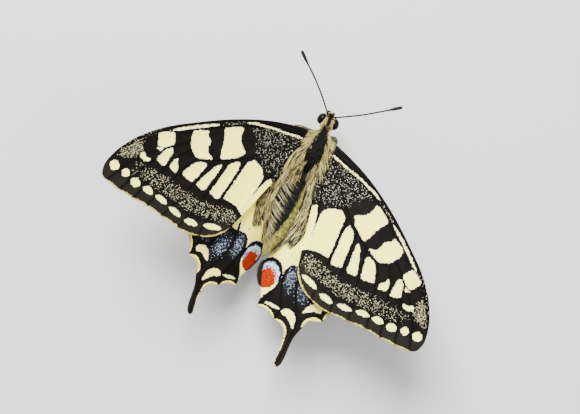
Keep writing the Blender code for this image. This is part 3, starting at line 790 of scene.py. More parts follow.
def tail_moved(flat, change):
    """The tail's change grows with the square of the way down it."""
    return flat + np.array(change) * np.clip((flat[..., :1] - TAIL_START) / 9.0, 0, 1) ** 2


def in_place(flat, height, pose):
    """Wing spots (x, y) and their height over the wing's plane, carried to the butterfly: the hinge, plus x
    times the way out, y times the way back and the height times the plane's normal."""
    side, hinge, azimuth, sideways, rearward = pose
    tilt = np.array([side * np.tan(np.radians(sideways)), np.tan(np.radians(rearward))])
    normal = unit(np.array([-tilt[0], -tilt[1], 1.0]))
    heading = np.array([side * np.cos(np.radians(azimuth)), np.sin(np.radians(azimuth))])
    out = unit(np.array([*heading, heading @ tilt]))
    back = np.cross(normal, out) * side
    root = np.array([side * hinge[0], hinge[1], hinge[2]])
    return root + flat[..., :1] * out + flat[..., 1:] * back + height[..., None] * normal


def forewing_camber(flat):
    """The forewing bellies up a little in the middle and its tip bends down: 0.7 sin(pi t) - 0.8 t^3, with t
    the way out along it."""
    along = np.clip(flat[..., 0] / FOREWING_LENGTH, 0, 1)
    return 0.7 * np.sin(np.pi * along) - 0.8 * along ** 3


def hindwing_camber(tuck):
    """The hindwing's inner edge curls down beside the abdomen, and the tail dips towards its tip."""
    def height(flat):
        """Down by tuck times beside^1.5 times rear, and by 0.6 times tail^2."""
        beside = np.clip((flat[..., 1] - 0.5) / 7.5, 0, 1.1)
        rear = np.clip((flat[..., 0] - 3.0) / 12.0, 0, 1)
        tail = np.clip((flat[..., 0] - TAIL_START) / 8.5, 0, 1)
        return -tuck * beside ** 1.5 * rear - 0.6 * tail ** 2
    return height


def nearest(flat, line):
    """The distance from each spot to the line through the given corners, and how far along the line,
    0 to 1, its nearest place lies."""
    line = np.asarray(line, float)
    step = np.diff(line, axis=0)
    size = np.linalg.norm(step, axis=1)
    at = way_along(line)
    best, along = np.full(len(flat), np.inf), np.zeros(len(flat))
    for i in range(len(step)):
        t = np.clip((flat - line[i]) @ step[i] / size[i] ** 2, 0, 1)
        gap = np.linalg.norm(flat - line[i] - t[:, None] * step[i], axis=1)
        closer = gap < best
        best = np.where(closer, gap, best)
        along = np.where(closer, (at[i] + t * size[i]) / at[-1], along)
    return best, along


CORNER_CUT = 0.13


def rounded(corners, times):
    """The outline with its corners cut off, times over. Each side keeps the part from CORNER_CUT to
    1 - CORNER_CUT of its length."""
    line = np.array(corners, float)
    for _ in range(times):
        after = np.roll(line, -1, axis=0)
        cut = CORNER_CUT * (after - line)
        line = np.stack([line + cut, after - cut], axis=1).reshape(-1, 2)
    return line


def within(flat, corners, times=2):
    """How deep inside the rounded outline each spot lies (negative outside): the distance to the nearest
    side, signed by how many sides a ray towards +x crosses."""
    line = rounded(corners, times)
    after = np.roll(line, -1, axis=0)
    gap, _ = nearest(flat, np.concatenate([line, line[:1]]))
    crossed = np.zeros(len(flat), bool)
    for (x1, y1), (x2, y2) in zip(line, after):
        if y1 != y2:
            spans = (y1 > flat[:, 1]) != (y2 > flat[:, 1])
            crossed ^= spans & (flat[:, 0] < x1 + (flat[:, 1] - y1) * (x2 - x1) / (y2 - y1))
    return np.where(crossed, gap, -gap)


def bowed_spot(flat, centre, heading, along, inner, outer):
    """How deep inside a spot each place lies. It runs along the heading for along to each side of its
    centre, and bows by inner towards the base and by outer towards the margin, times (1 - t^2)^0.6."""
    ahead = np.array([np.cos(heading), np.sin(heading)])
    a = (flat - centre) @ ahead
    b = (flat - centre) @ np.array([-ahead[1], ahead[0]])
    bow = np.clip(1 - (a / along) ** 2, 0, 1) ** 0.6
    depth = np.minimum(inner * bow - b, outer * bow + b)
    return np.where(np.abs(a) < along, depth, -np.hypot(np.abs(a) - along, b))


def fringe_arcs(flat, stretches, width):
    """How deep inside the pale arcs of the margin each spot lies: an arc from vein end to vein end, as wide
    as width times sin^0.6 of the way along."""
    depth = np.full(len(flat), -9.0)
    for stretch in stretches:
        gap, along = nearest(flat, stretch[::4])
        depth = np.maximum(depth, width * np.sin(np.pi * along) ** 0.6 - gap)
    return depth


def vein_gap(flat, veins):
    """The distance from each spot to the nearest vein."""
    return np.min([nearest(flat, curve_through(line, 24))[0] for line in veins.values()], axis=0)


# The corners of the forewing's pale patches: two in the cell, then those round it, from front to rear.
FOREWING_PATCHES = [
    [(12.8, -3.1), (16.8, -3.7), (17.1, -1.5), (17.9, 0.6), (18.3, 2.1), (14.8, 2.4), (13.0, 1.8),
     (13.8, -0.2), (13.7, -1.5)],
    [(20.0, -3.5), (22.9, -4.1), (23.7, -2.8), (23.9, -0.9), (23.0, 1.2), (19.7, 1.9), (20.7, 0.6),
     (20.5, -0.5), (19.9, -1.5), (20.3, -2.6)],
    [(26.7, -4.3), (29.8, -4.75), (30.2, -2.2), (28.9, -1.9), (27.0, -2.0)],
    [(29.0, -1.75), (30.5, -2.0), (29.9, -1.2)],
    [(33.9, -1.1), (33.2, -1.6), (32.8, -1.3), (32.6, -0.55), (31.8, -0.1), (32.3, 0.35), (33.2, 0.0)],
    [(27.5, -1.5), (27.4, -0.7), (29.5, 1.8), (30.8, 0.1), (28.8, -1.4)],
    [(27.2, 0.7), (26.5, 0.7), (26.9, 1.7), (26.7, 2.4), (27.4, 3.3), (28.5, 1.9)],
    [(21.2, 2.35), (22.5, 1.9), (24.0, 2.2), (26.2, 3.45), (24.5, 5.5), (22.7, 4.3), (21.3, 3.1)],
    [(18.0, 3.1), (19.4, 3.35), (23.7, 5.9), (22.2, 7.6), (18.5, 3.9)],
    [(14.2, 3.3), (15.7, 3.2), (17.1, 3.7), (21.3, 7.6), (19.5, 9.8), (15.0, 4.9)],
    [(11.2, 3.5), (12.9, 3.6), (18.6, 9.4), (16.9, 10.5), (15.8, 11.6), (15.2, 12.8), (14.9, 13.6),
     (12.6, 10.2), (9.8, 7.1), (9.9, 5.3)],
    [(8.2, 7.4), (9.8, 8.1), (12.3, 10.0), (14.9, 12.7), (15.0, 13.9), (13.4, 12.7), (8.0, 8.8)]]
# The row of spots before the margin, from the apex to the inner corner: centre, half length, and how far it
# bows towards the base and towards the margin.
FOREWING_SPOTS = [
    ((38.6, 0.1), 0.95, 0.9, 0.85), ((36.7, 1.8), 0.78, 0.78, 0.75), ((35.1, 3.85), 1.0, 0.85, 0.75),
    ((32.9, 5.7), 1.1, 0.75, 0.5), ((30.6, 7.8), 1.35, 0.65, 0.4), ((28.2, 10.5), 1.45, 0.6, 0.4),
    ((25.3, 13.0), 1.45, 0.65, 0.45), ((21.1, 14.65), 1.95, 0.65, 0.42)]
FOREWING_COSTAL_LINE = [
    (0.9, 0.9), (3.6, -0.3), (6.6, -1.8), (9.0, -2.8), (10.5, -3.4), (12.0, -3.75), (13.7, -4.0),
    (17.4, -4.3), (20.0, -4.5), (22.5, -4.65), (26.0, -4.7), (29.7, -4.6), (32.0, -4.4)]
FOREWING_APEX_DUST = [
    (32.6, -4.0), (34.4, -3.9), (36.6, -2.9), (37.9, -1.9), (36.8, -1.2), (35.0, -0.7), (33.3, -1.6)]
FOREWING_BASE = [
    (-3.0, -4.0), (12.2, -4.4), (11.6, -1.9), (11.4, 0.2), (11.2, 1.7), (11.5, 2.8), (10.3, 4.6),
    (9.3, 6.3), (8.0, 6.9), (7.4, 12.0), (-3.0, 12.0)]
FOREWING_DUST_BAND = [
    (35.0, -0.3), (32.8, 0.8), (30.4, 2.5), (27.9, 4.7), (25.5, 6.9), (23.1, 9.0), (20.4, 10.3),
    (17.9, 11.2), (15.8, 13.0), (16.3, 15.0), (19.1, 14.3), (22.4, 12.7), (25.3, 11.1), (28.0, 8.8),
    (30.6, 6.3), (33.2, 4.3), (35.7, 2.0)]


def forewing_marks(flat):
    """The pattern as depths in mm inside each colour (negative outside) and densities, 0 to 1, of the loose
    scales that dust the black: pale at the base and beyond the middle, thinned along the veins."""
    x, y = flat.T
    veins = vein_gap(flat, FOREWING_VEINS)
    stretches = scalloped(FOREWING_OUTER_VEINS, FOREWING_SCALLOPS, 20)
    margin, _ = nearest(flat, joined(*stretches)[::5])
    front, _ = nearest(flat, FOREWING_FRONT)
    pale = np.max([within(flat, corners) for corners in FOREWING_PATCHES], axis=0)
    edged = {name: FOREWING_VEINS[name] for name in ("m3", "cua1", "cua2")}
    pale = np.minimum(pale, vein_gap(flat, edged) - 0.36)
    slopes = np.gradient(np.array([centre for centre, *_ in FOREWING_SPOTS]), axis=0)
    for (centre, *sizes), slope in zip(FOREWING_SPOTS, slopes):
        pale = np.maximum(pale, bowed_spot(flat, centre, np.arctan2(slope[1], slope[0]), *sizes))
    line, _ = nearest(flat, FOREWING_COSTAL_LINE)
    streak = 0.15 + 0.08 * ramp(x, 17, 21) - 0.5 * ramp(x, 25.5, 29.5) - line
    dusky = ramp(x, 11.5, 13.5) * ramp(18.5 - x, 0, 2.0)
    pale = np.maximum(pale, streak - 0.4 * dusky)
    band = ramp(within(flat, FOREWING_DUST_BAND, 1), -0.35, 0.7) * (1 - 0.5 * ramp(x, 29.0, 36.0))
    base = 0.37 * ramp(within(flat, FOREWING_BASE, 1), -0.3, 1.3)
    base = base * ramp(y - np.interp(x, *np.transpose(FOREWING_COSTAL_LINE)), 0.15, 0.5)
    apex = 1.2 * ramp(within(flat, FOREWING_APEX_DUST), -0.5, 0.7)
    brown = 0.45 * ramp(x, 27, 30) * ramp(37.5 - x, 0, 2) * ramp(1.0 - front, 0, 0.5)
    dust = np.max([base, 0.62 * band, apex, 0.8 * dusky * ramp(streak, -0.3, 0.1), brown], axis=0)
    dust = dust * (1 - 0.6 * np.exp(-(veins / 0.2) ** 2) * ramp(margin, 1, 2))
    return {"pale": pale, "dust": dust, "warm": ramp(x, 11, 16), "cloud": 0 * x, "pearl": 0 * x - 9,
            "red": 0 * x - 9, "fringe": fringe_arcs(flat, stretches[:-1], 0.13),
            "grey": 0.8 * ramp(3.0 - margin, 0, 1.2), "vein": veins}


# The hindwing's black band: its border towards the pale middle, then round outside the margin.
HINDWING_BAND = [
    (29.6, 8.7), (28.2, 7.9), (27.1, 7.2), (26.2, 6.4), (25.5, 5.5), (24.4, 4.9), (23.0, 4.3), (21.6, 3.9),
    (20.6, 3.2), (20.2, 2.3), (20.2, 1.4), (20.5, 0.3), (20.8, -0.6), (20.3, -3.0), (19.0, -6.0),
    (16.5, -9.0), (13.0, -12.0), (8.0, -16.0), (14.0, -22.0), (45.0, -20.0), (45.0, 8.0)]
# The corners of the pale marks in the band, before the margin and beside the tail.
HINDWING_LUNULES = [
    [(28.9, -1.0), (27.8, -1.6), (27.1, -2.2), (26.7, -3.1), (26.8, -3.8), (27.2, -4.5), (27.9, -4.7),
     (28.4, -4.3), (28.3, -3.8), (28.1, -3.2), (28.4, -2.3)],
    [(29.3, 3.1), (28.7, 2.4), (28.7, 1.6), (29.1, 0.8), (29.8, 0.2), (30.6, 0.0), (32.3, 0.2), (31.2, 1.0),
     (30.2, 1.8), (29.8, 2.7)],
    [(29.05, 3.4), (28.6, 3.9), (28.25, 5.0), (28.05, 6.0), (28.05, 6.8), (28.5, 6.2), (28.9, 4.9)],
    [(25.9, -6.0), (24.4, -7.0), (24.0, -8.6), (25.0, -9.0), (25.2, -7.8), (26.1, -6.7)],
    [(21.6, -11.0), (20.2, -12.2), (19.6, -13.2), (20.8, -13.3), (21.4, -12.4), (22.2, -11.6)],
    [(16.5, -14.3), (15.0, -15.0), (14.2, -15.9), (15.6, -15.9), (16.8, -15.2)]]
# Blue clouds in the band, one to a cell: centre, half length, half width.
HINDWING_CLOUDS = [
    ((22.9, 2.4), 2.0, 1.5), ((24.7, -0.6), 2.0, 1.4), ((23.6, -4.6), 1.9, 1.3), ((20.2, -8.4), 1.8, 1.3),
    ((15.8, -12.3), 1.6, 1.2)]
# The eyespot's ovals, each a middle and half sizes: the red, the pearly cap beyond it, and the black ring.
EYESPOT_RED = ((23.5, 7.0), (2.05, 1.85))
EYESPOT_CAP = ((22.8, 6.75), (2.35, 2.0))
EYESPOT_RING = ((22.45, 6.6), (2.95, 2.5))


def within_oval(flat, oval):
    """How deep inside the oval each spot lies: (1 - its reach in half sizes) times the smaller half size."""
    middle, sizes = np.array(oval)
    return (1 - np.linalg.norm((flat - middle) / sizes, axis=1)) * sizes.min()


def hindwing_bays():
    """The hindwing's outer margin from vein end to vein end, without the tail."""
    return (scalloped(HINDWING_FRONT_VEINS, HINDWING_FRONT_SCALLOPS, 30)
            + scalloped(HINDWING_REAR_VEINS, HINDWING_REAR_SCALLOPS, 30))


def hindwing_marks(flat):
    """As on the forewing, with a black band that holds blue clouds and pale lunules, and a red eyespot
    under a pearly cap, ringed with black on the side of the body. Dust lies on the base and the inner edge.
    The front, which the forewing covers, is a whiter cream."""
    x, y = flat.T
    veins = vein_gap(flat, HINDWING_VEINS)
    outside = -within(flat, HINDWING_BAND, 1)
    pale = np.minimum(outside, np.where((y > 2.2) | (x < 18.8), 1.0, veins - 0.24))
    red, cap, ring = (within_oval(flat, oval) for oval in (EYESPOT_RED, EYESPOT_CAP, EYESPOT_RING))
    lash = np.where((y > 7.2) & (x > 22.5), within_oval(flat, ((23.6, 7.35), (2.1, 2.0))), -9)
    pale = np.minimum(pale, -np.maximum(np.minimum(ring, 24.0 - x), lash))
    for corners in HINDWING_LUNULES:
        pale = np.maximum(pale, within(flat, corners))
    inner, _ = nearest(flat, curve_through(HINDWING_INNER, 40))
    fold = ramp(2.4 - inner, 0, 1.0) * ramp(17.5 - x, 0, 2.5)
    base = ramp(8.5 - x, 0, 2.5)
    shaded = np.maximum(fold, base)
    pale = np.minimum(pale, 1.2 - 2.4 * shaded) - 3 * ramp(x, 33.0, 33.6)
    clouds = [np.exp(-(((x - centre[0]) / along) ** 2 + ((y - centre[1]) / across) ** 2))
              for centre, along, across in HINDWING_CLOUDS]
    cloud = 0.85 * np.max(clouds, axis=0) * ramp(veins, 0.08, 0.45) * ramp(-ring, 0, 0.3)
    runner, way = nearest(flat, TAIL_INNER)
    fringe = np.maximum(fringe_arcs(flat, hindwing_bays(), 0.5), 0.28 * ramp(0.5 - way, 0, 0.4) - runner)
    cap = np.minimum(cap, 23.5 - 0.55 * (y - 6.8) - x)
    return {"pale": pale, "dust": 0.62 * shaded, "warm": 0 * x + 0.5, "cloud": cloud, "pearl": cap,
            "beyond": -red, "red": np.maximum(red, np.minimum(cap, red + 0.7)), "fringe": fringe,
            "grey": 0.9 * ramp(x, 33.0, 36.0), "vein": veins, "covered": 0.8 * ramp(-6.5 - y, 0, 2)}


SCALE_SIZE = 0.18


def wing_material(name, cream, buff, black, grey):
    """Fine scales. Every boundary of the pattern is ragged by single scales. Loose scales lie as separate
    grains on the black, where their dust or cloud mark is denser than the scale's own lot."""
    made, tree, shader = new_material(name)
    coordinates = add(tree, "TexCoord").outputs["Object"]
    tiling = {"Vector": coordinates, "Scale": 1 / (SCALE_SIZE * MM), "Randomness": 0.9}
    scale = add(tree, "TexVoronoi", tiling)
    lot = add(tree, "SeparateColor", {0: scale.outputs["Color"]}).outputs
    grain = remap(tree, scale.outputs["Distance"], 0.40, 0.28)
    wavy = calc(tree, "MULTIPLY", calc(tree, "SUBTRACT", noise(tree, 0.5), 0.5), 0.30)

    def depth(mark, stir=0.22):
        """1 inside the mark's boundary and 0 outside. It waves, and scales stray over it by stir."""
        stray = calc(tree, "MULTIPLY", calc(tree, "SUBTRACT", lot[1], 0.5), stir)
        edge = calc(tree, "ADD", mark_of(tree, mark), calc(tree, "ADD", wavy, stray))
        return remap(tree, edge, -0.04, 0.04)

    def dusted(mark, low, high):
        """Low to high, by a second lot, on the grains whose lot falls below the mark's density, else 0."""
        gap = calc(tree, "SUBTRACT", mark_of(tree, mark), lot[0])
        kept = remap(tree, gap, 0.0, 0.06)
        bright = remap(tree, lot[2], 0.0, 1.0, low, high)
        return calc(tree, "MULTIPLY", calc(tree, "MULTIPLY", kept, grain), bright)

    soft = remap(tree, noise(tree, 2.5, 4.0), 0.35, 0.65)
    ground = mix(tree, soft, black, tuple(1.6 * c for c in black))
    ground = mix(tree, mark_of(tree, "grey"), ground, grey)
    near_vein = remap(tree, mark_of(tree, "vein"), 0.1, 0.35, 0.8, 0.0)
    ground = mix(tree, near_vein, ground, tuple(0.5 * c for c in black))
    smoky = calc(tree, "MULTIPLY", mark_of(tree, "cloud"), 0.8)
    ground = mix(tree, smoky, ground, (0.022, 0.027, 0.038))
    grains = mix(tree, mark_of(tree, "warm"), (0.62, 0.59, 0.44), (0.80, 0.72, 0.45))
    colour = mix(tree, dusted("dust", 0.5, 1.0), ground, grains)
    pearl = mix(tree, lot[2], (0.13, 0.20, 0.35), (0.62, 0.70, 0.82))
    colour = mix(tree, dusted("cloud", 0.6, 1.0), colour, (0.66, 0.76, 0.92))
    streak = remap(tree, noise(tree, 0.9, 5.0), 0.3, 0.7)
    ribbed = calc(tree, "MULTIPLY", near_vein, 0.4)
    sheet = mix(tree, ribbed, mix(tree, streak, cream, buff), (0.60, 0.50, 0.20))
    rim = remap(tree, mark_of(tree, "pale"), 0.25, 0.05, 0.0, 0.8)
    sheet = mix(tree, rim, sheet, (0.80, 0.75, 0.45))
    sheet = mix(tree, mark_of(tree, "covered"), sheet, (0.86, 0.84, 0.66))
    colour = mix(tree, depth("pale"), colour, sheet)
    ember = mix(tree, lot[2], (0.13, 0.007, 0.0), (0.30, 0.020, 0.0))
    colour = mix(tree, depth("red"), colour, ember)
    colour = mix(tree, calc(tree, "MINIMUM", depth("pearl", 0.4), depth("beyond", 1.0)), colour, pearl)
    colour = mix(tree, depth("fringe"), colour, mix(tree, streak, (0.88, 0.76, 0.20), (0.70, 0.57, 0.12)))
    dress(tree, shader, colour, 0.6, 0.03)
    bump(tree, shader, scale.outputs["Distance"], 0.35, 0.03)
    return made


upper_finish = wing_material("upper_wing_scales", (1.0, 0.89, 0.15), (0.96, 0.82, 0.10),
                             (0.003, 0.0025, 0.002), (0.011, 0.009, 0.007))
under_finish = wing_material("under_wing_scales", (0.92, 0.87, 0.58), (0.85, 0.79, 0.48),
                             (0.018, 0.015, 0.011), (0.060, 0.050, 0.036))


# Each wing's veins, pattern, camber, pose and change of its tail.
WINGS = {}
for side in SIDES:
    WINGS["forewing", side] = (FOREWING_VEINS, forewing_marks, forewing_camber, FOREWING_POSE[side], (0, 0))
    WINGS["hindwing", side] = (HINDWING_VEINS, hindwing_marks, hindwing_camber(HINDWING_TUCK[side]),
                               HINDWING_POSE[side], TAIL_CHANGE[side])


def on_wing(wing, flat, above):
    """Flat places of a wing carried to the butterfly, above the middle of its film."""
    _, _, camber, pose, change = WINGS[wing]
    return in_place(tail_moved(flat, change), camber(flat) + above, pose)


def above_wing(wing, flat):
    """The way up from the wing at flat places."""
    return unit(on_wing(wing, flat, 1.0) - on_wing(wing, flat, 0.0))


def wing_film(wing, margins, columns):
    """A grid of spots between the margins, doubled into an upper and an under side and closed round the rim.
    It sinks between the veins by PLEAT times 1 - exp(-(distance / PLEAT_REACH)^2). On the unwrap the upper
    side fills one half and the under side the other."""
    front, rear = (edge[:-1] for edge in margins)
    across = np.linspace(0, 1, columns + 1)[None, :, None]
    flat = (front[:, None] * (1 - across) + rear[:, None] * across).reshape(-1, 2)
    marks = WINGS[wing][1](flat)
    sag = -PLEAT * (1 - np.exp(-(marks["vein"] / PLEAT_REACH) ** 2))
    spots = np.concatenate([on_wing(wing, flat, sag + half) for half in (MEMBRANE / 2, -MEMBRANE / 2)])
    wide, rows = columns + 1, len(front)
    row, column = (grid.reshape(-1) for grid in np.mgrid[0:rows - 1, 0:columns])
    first = row * wide + column
    upper = np.stack([first, first + 1, first + wide + 1, first + wide], axis=1)
    under = upper[:, ::-1] + rows * wide
    rim = np.concatenate([np.arange(wide), np.arange(2, rows + 1) * wide - 1,
                          (rows - 1) * wide + np.arange(wide - 2, -1, -1), np.arange(rows - 2, 0, -1) * wide])
    after = np.roll(rim, -1)
    edge = np.stack([rim + rows * wide, after + rows * wide, after, rim], axis=1)
    size = np.ptp(flat, axis=0).max()
    unwrap = (flat - flat.min(axis=0)) / size * 0.96 + (0.02, 0.01)
    islands = np.concatenate([unwrap, unwrap + (0.0, 0.5)])
    groups = [(upper, islands[upper], 0), (under, islands[under], 1),
              (edge, islands[np.stack([rim, after, after, rim], axis=1)], 0)]
    doubled = {mark: np.tile(values, 2) for mark, values in marks.items()}
    film = make_piece("{}_film_{}".format(*wing), spots, groups, [upper_finish, under_finish], **doubled)
    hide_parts("{}_{}".format(*wing))


for side in SIDES:
    wing_film(("forewing", side), forewing_margins(10), 140)
    wing_film(("hindwing", side), hindwing_margins(8), 124)


# ---- Veins ------------------------------------------------------------------------------------
# The veins are horny tubes between the two layers of the film. They taper from the wing's root to
# its margin and stand proud of the film on both sides, dressed in the scales of their surroundings.

VEIN_RADII = (0.17, 0.10)
VEIN_SIDES, VEIN_STEPS = 6, 70


def vein_net(wing):
    """A tube along each vein, whose radius falls evenly over the first 25 mm and narrows at its end. On the
    unwrap each tube has a strip of its own."""
    veins, marks = WINGS[wing][:2]
    along = np.linspace(0, 1, VEIN_STEPS + 1)
    spots, groups, places, first = [], [], [], 0
    for number, line in enumerate(veins.values()):
        flat = curve_through(line, VEIN_STEPS)
        radii = VEIN_RADII[0] + (VEIN_RADII[1] - VEIN_RADII[0]) * np.clip(flat[:, 0] / 25, 0, 1)
        radii = radii * (0.3 + 0.7 * ramp(1 - along, 0, 0.06))
        tube_spots, tube_groups = ringed(tube(on_wing(wing, flat, 0 * along), radii, VEIN_SIDES, (0, 0, 1)))
        strip = np.array([0.9, len(veins) * 0.96]) / len(veins)
        for corner, patch, _ in tube_groups:
            groups.append((corner + first, patch * strip + ((number + 0.05) / len(veins), 0.02), 0))
        spots.append(tube_spots)
        places.append(np.concatenate([np.repeat(flat, VEIN_SIDES, axis=0), flat[[0, -1]]]))
        first += len(tube_spots)
    net = make_piece("{}_veins_{}".format(*wing), np.concatenate(spots), groups, [upper_finish],
                     **marks(np.concatenate(places)))


for wing in WINGS:
    vein_net(wing)


# ---- Fringe -----------------------------------------------------------------------------------
# Long narrow scales stand out from the margin like eyelashes: pale yellow along each bay, and black
# where a vein ends. Beside the eyespot they are sooty and four deep, and longer on the right, where
# they make up for an outline that is a little short.

FRINGE_SPACING, FRINGE_LENGTH, FRINGE_RADIUS = 0.045, 0.34, 0.03
EYESPOT_FRINGE_ROWS, EYESPOT_FRINGE_LENGTH = 4, {"left": 0.4, "right": 1.0}
WING_CENTRE = (18.0, 0.0)


def fringe(name, wing, stretches, seed, pale=(0.80, 0.68, 0.19), size=FRINGE_LENGTH):
    """Blades square to the margin, rooted 0.4 of their length inside it. They are pale where the bay's
    swell, sin(pi t)^0.6 with t the way along the bay, is over a half, and sooty and shorter elsewhere."""
    dice = np.random.default_rng(seed)
    feet, ways, swells = [], [], []
    for stretch in stretches:
        at = way_along(stretch)
        where = np.arange(FRINGE_SPACING, at[-1], FRINGE_SPACING)
        foot = sampled(where, at, stretch)
        way = unit(np.gradient(foot, axis=0))
        way = np.stack([way[:, 1], -way[:, 0]], axis=1)
        feet.append(foot)
        ways.append(way * np.sign(np.sum(way * (foot.mean(axis=0) - WING_CENTRE))))
        swells.append(np.sin(np.pi * where / at[-1]) ** 0.6)
    foot, way, swell = (np.concatenate(part) for part in (feet, ways, swells))
    way = unit(way + dice.normal(0, 0.12, way.shape))
    long = size * dice.uniform(0.7, 1.2, len(foot)) * (0.4 + 0.6 * swell)
    reach = (TUFT_STEPS - 0.4) * long[:, None]
    flat = foot[:, None] + reach[..., None] * way[:, None]
    lines = on_wing(wing, flat, dice.normal(0, 0.03, (len(foot), 1)) - 0.05 * TUFT_STEPS)
    ups = above_wing(wing, foot)
    bright = ramp(swell + dice.normal(0, 0.06, len(foot)), 0.45, 0.55)[:, None]
    colours = (np.array(pale) * bright + 2 * SOOT * (1 - bright)) * dice.uniform(0.6, 1.1, (len(foot), 1))
    patches = (foot - foot.min(axis=0)) / np.ptp(foot, axis=0).max() * 0.98 + 0.01
    radii = np.full(len(foot), FRINGE_RADIUS)
    blades = tuft_mesh("{}_{}".format(name, wing[1]), lines, ups, radii, colours, patches, hair_finish)


inner_edge = curve_through(HINDWING_INNER, 300)
beside_eyespot = inner_edge[(inner_edge[:, 0] > 20.3) & (inner_edge[:, 0] < 25.3)]
for number, side in enumerate(SIDES):
    bays = scalloped(FOREWING_OUTER_VEINS, FOREWING_SCALLOPS, 30)[:-1]
    fringe("forewing_fringe", ("forewing", side), bays, 60 + number)
    fringe("hindwing_fringe", ("hindwing", side), hindwing_bays(), 70 + number)
    fringe("inner_edge_fringe", ("hindwing", side), [beside_eyespot] * EYESPOT_FRINGE_ROWS, 75 + number,
           2 * SOOT, EYESPOT_FRINGE_LENGTH[side])


# ---- Hair over the wing roots -----------------------------------------------------------------
# Long silky hair streams back from the thorax over the wing roots and along the hindwings' inner
# edges. On the left a fan of grey locks crosses from that edge onto the side of the abdomen.

TAN = np.array([0.58, 0.47, 0.17])
CREAM_HAIR = np.array([0.70, 0.60, 0.27])
GREY_HAIR = np.array([0.46, 0.39, 0.20])
LANE_WIDTH = 0.16


def strand_colours(dice, count, pale, dark_share):
    """Mostly the pale colour in many tones, with a share of nearly black strands among it."""
    tone = dice.uniform(0.25, 1.3, (count, 1))
    return np.where(dice.random((count, 1)) < dark_share, 3 * SOOT, pale * tone)


def bent(start, middle, end):
    """Four spots along the quadratic curve from start to end, drawn towards the middle."""
    return quadratic(start[:, None], middle[:, None], end[:, None], TUFT_STEPS[:, None])


def stream(name, side, path, half_width, count, reach, pale, dark_share, seed):
    """Strands that follow a path over the hindwing, whose spots give the flat place and the height above the
    film. They lie in lanes beside each other, wander a little, and rise and sink as 1.6 t - 1.2 t^2."""
    dice = np.random.default_rng(seed)
    course = curve_through(path, 400)
    at = np.linspace(0, np.sum(np.linalg.norm(np.diff(course, axis=0), axis=1)), len(course))
    ahead = unit(np.gradient(course[:, :2], axis=0))
    lanes = round(2 * half_width / LANE_WIDTH)
    lane = (dice.integers(0, lanes, count) + 0.5) / lanes * 2 - 1
    long = dice.uniform(*reach, count)
    start = dice.uniform(0, 1, count) * (at[-1] - 0.6 * long)
    where = start[:, None] + long[:, None] * TUFT_STEPS
    spot = sampled(where, at, course)
    beside = sampled(where, at, np.stack([ahead[:, 1], -ahead[:, 0]], axis=1))
    offset = half_width * lane[:, None] + dice.normal(0, 0.06, (count, 1))
    offset = offset + dice.normal(0, 0.14, (count, 1)) * TUFT_STEPS
    rise = dice.uniform(0.15, 0.45, (count, 1)) * (1.6 * TUFT_STEPS - 1.2 * TUFT_STEPS ** 2)
    wing = ("hindwing", side)
    flat = spot[..., :2] + offset[..., None] * beside
    lines = on_wing(wing, flat, spot[..., 2] + rise)
    ups = above_wing(wing, flat[:, 0])
    patches = np.stack([start / at[-1], 0.5 + 0.45 * lane], axis=1)
    hair = tuft_mesh(f"{name}_{side}", lines, ups, 0.042 * dice.uniform(0.6, 1.3, count),
                     strand_colours(dice, count, pale, dark_share), patches, hair_finish)


LEFT_STREAM = [
    (0.3, 1.0, 1.1), (2.6, 0.1, 1.2), (5.4, 0.3, 1.1), (9.2, 1.1, 0.6), (11.4, 1.5, 0.3), (14.2, 3.1, 0.2),
    (16.6, 5.0, 0.3), (19.1, 6.8, 0.4)]
RIGHT_STREAM = [
    (0.8, 1.7, 1.1), (5.1, 1.8, 0.9), (8.8, 2.0, 0.4), (12.0, 3.1, 0.2), (14.8, 4.7, 0.3), (16.7, 6.0, 0.4),
    (18.7, 7.5, 0.5)]
stream("inner_edge_hair", "left", LEFT_STREAM, 0.75, 520, (2.6, 4.4), TAN, 0.30, 80)
stream("inner_edge_fuzz", "left", [(10.2, 0.4, 0.1), (13.4, 0.7, 0.1), (16.0, 1.8, 0.1), (17.8, 3.2, 0.1)],
       1.0, 420, (1.1, 2.0), 0.8 * TAN, 0.42, 81)
stream("inner_edge_hair", "right", RIGHT_STREAM, 0.72, 500, (2.8, 4.6), CREAM_HAIR, 0.36, 82)
# Painted shade: a narrow stream of nearly black strands beside the right inner edge, for the shade between
# hindwing and abdomen.
stream("inner_edge_painted_shade", "right", [(x, y + 0.95, up - 0.2) for x, y, up in RIGHT_STREAM], 0.2, 130,
       (2.6, 4.0), 4 * SOOT, 0.7, 83)
stream("inner_edge_fuzz", "right", [(10.5, 1.3, 0.1), (13.8, 2.2, 0.1), (17.2, 4.3, 0.1)], 0.8, 170,
       (1.2, 2.6), 0.9 * CREAM_HAIR, 0.5, 84)
# Painted shade: a wide stream of nearly black strands beside the left inner edge, filling the shade between
# hindwing and abdomen under the fan.
stream("inner_edge_painted_shade", "left", [(x, y + 1.5, up - 0.2) for x, y, up in LEFT_STREAM], 0.9, 900, (1.6, 3.0),
       3 * SOOT, 0.5, 86)

# The fan: each lock starts beside the hindwing's inner hair and ends close over the abdomen's skin.
FAN_LOCKS, FAN_STRANDS = 27, 6
dice = np.random.default_rng(85)
count = FAN_LOCKS * FAN_STRANDS
lock = np.repeat(np.linspace(5.2, 17.2, FAN_LOCKS) + dice.normal(0, 0.1, FAN_LOCKS), FAN_STRANDS)
lock_long = np.repeat(dice.uniform(0.0, 1.0, FAN_LOCKS), FAN_STRANDS)
root = lock + dice.normal(0, 0.06, count)
course = curve_through(LEFT_STREAM, 400)
flat = np.stack([root, np.interp(root, course[:, 0], course[:, 1]) + 0.55], axis=1)
start = on_wing(("hindwing", "left"), flat, np.interp(root, course[:, 0], course[:, 2]))
y = start[:, 1] + 1.5 + 0.5 * lock_long + dice.normal(0, 0.2, count)
shoulder, shoulder_turn = y - 0.9, 0.35 + 0 * y
end_turn = 0.41 + 0.08 * lock_long + dice.normal(0, 0.03, count)
middle = skin_place(shoulder, shoulder_turn) + 0.85 * skin_normal(shoulder, shoulder_turn)
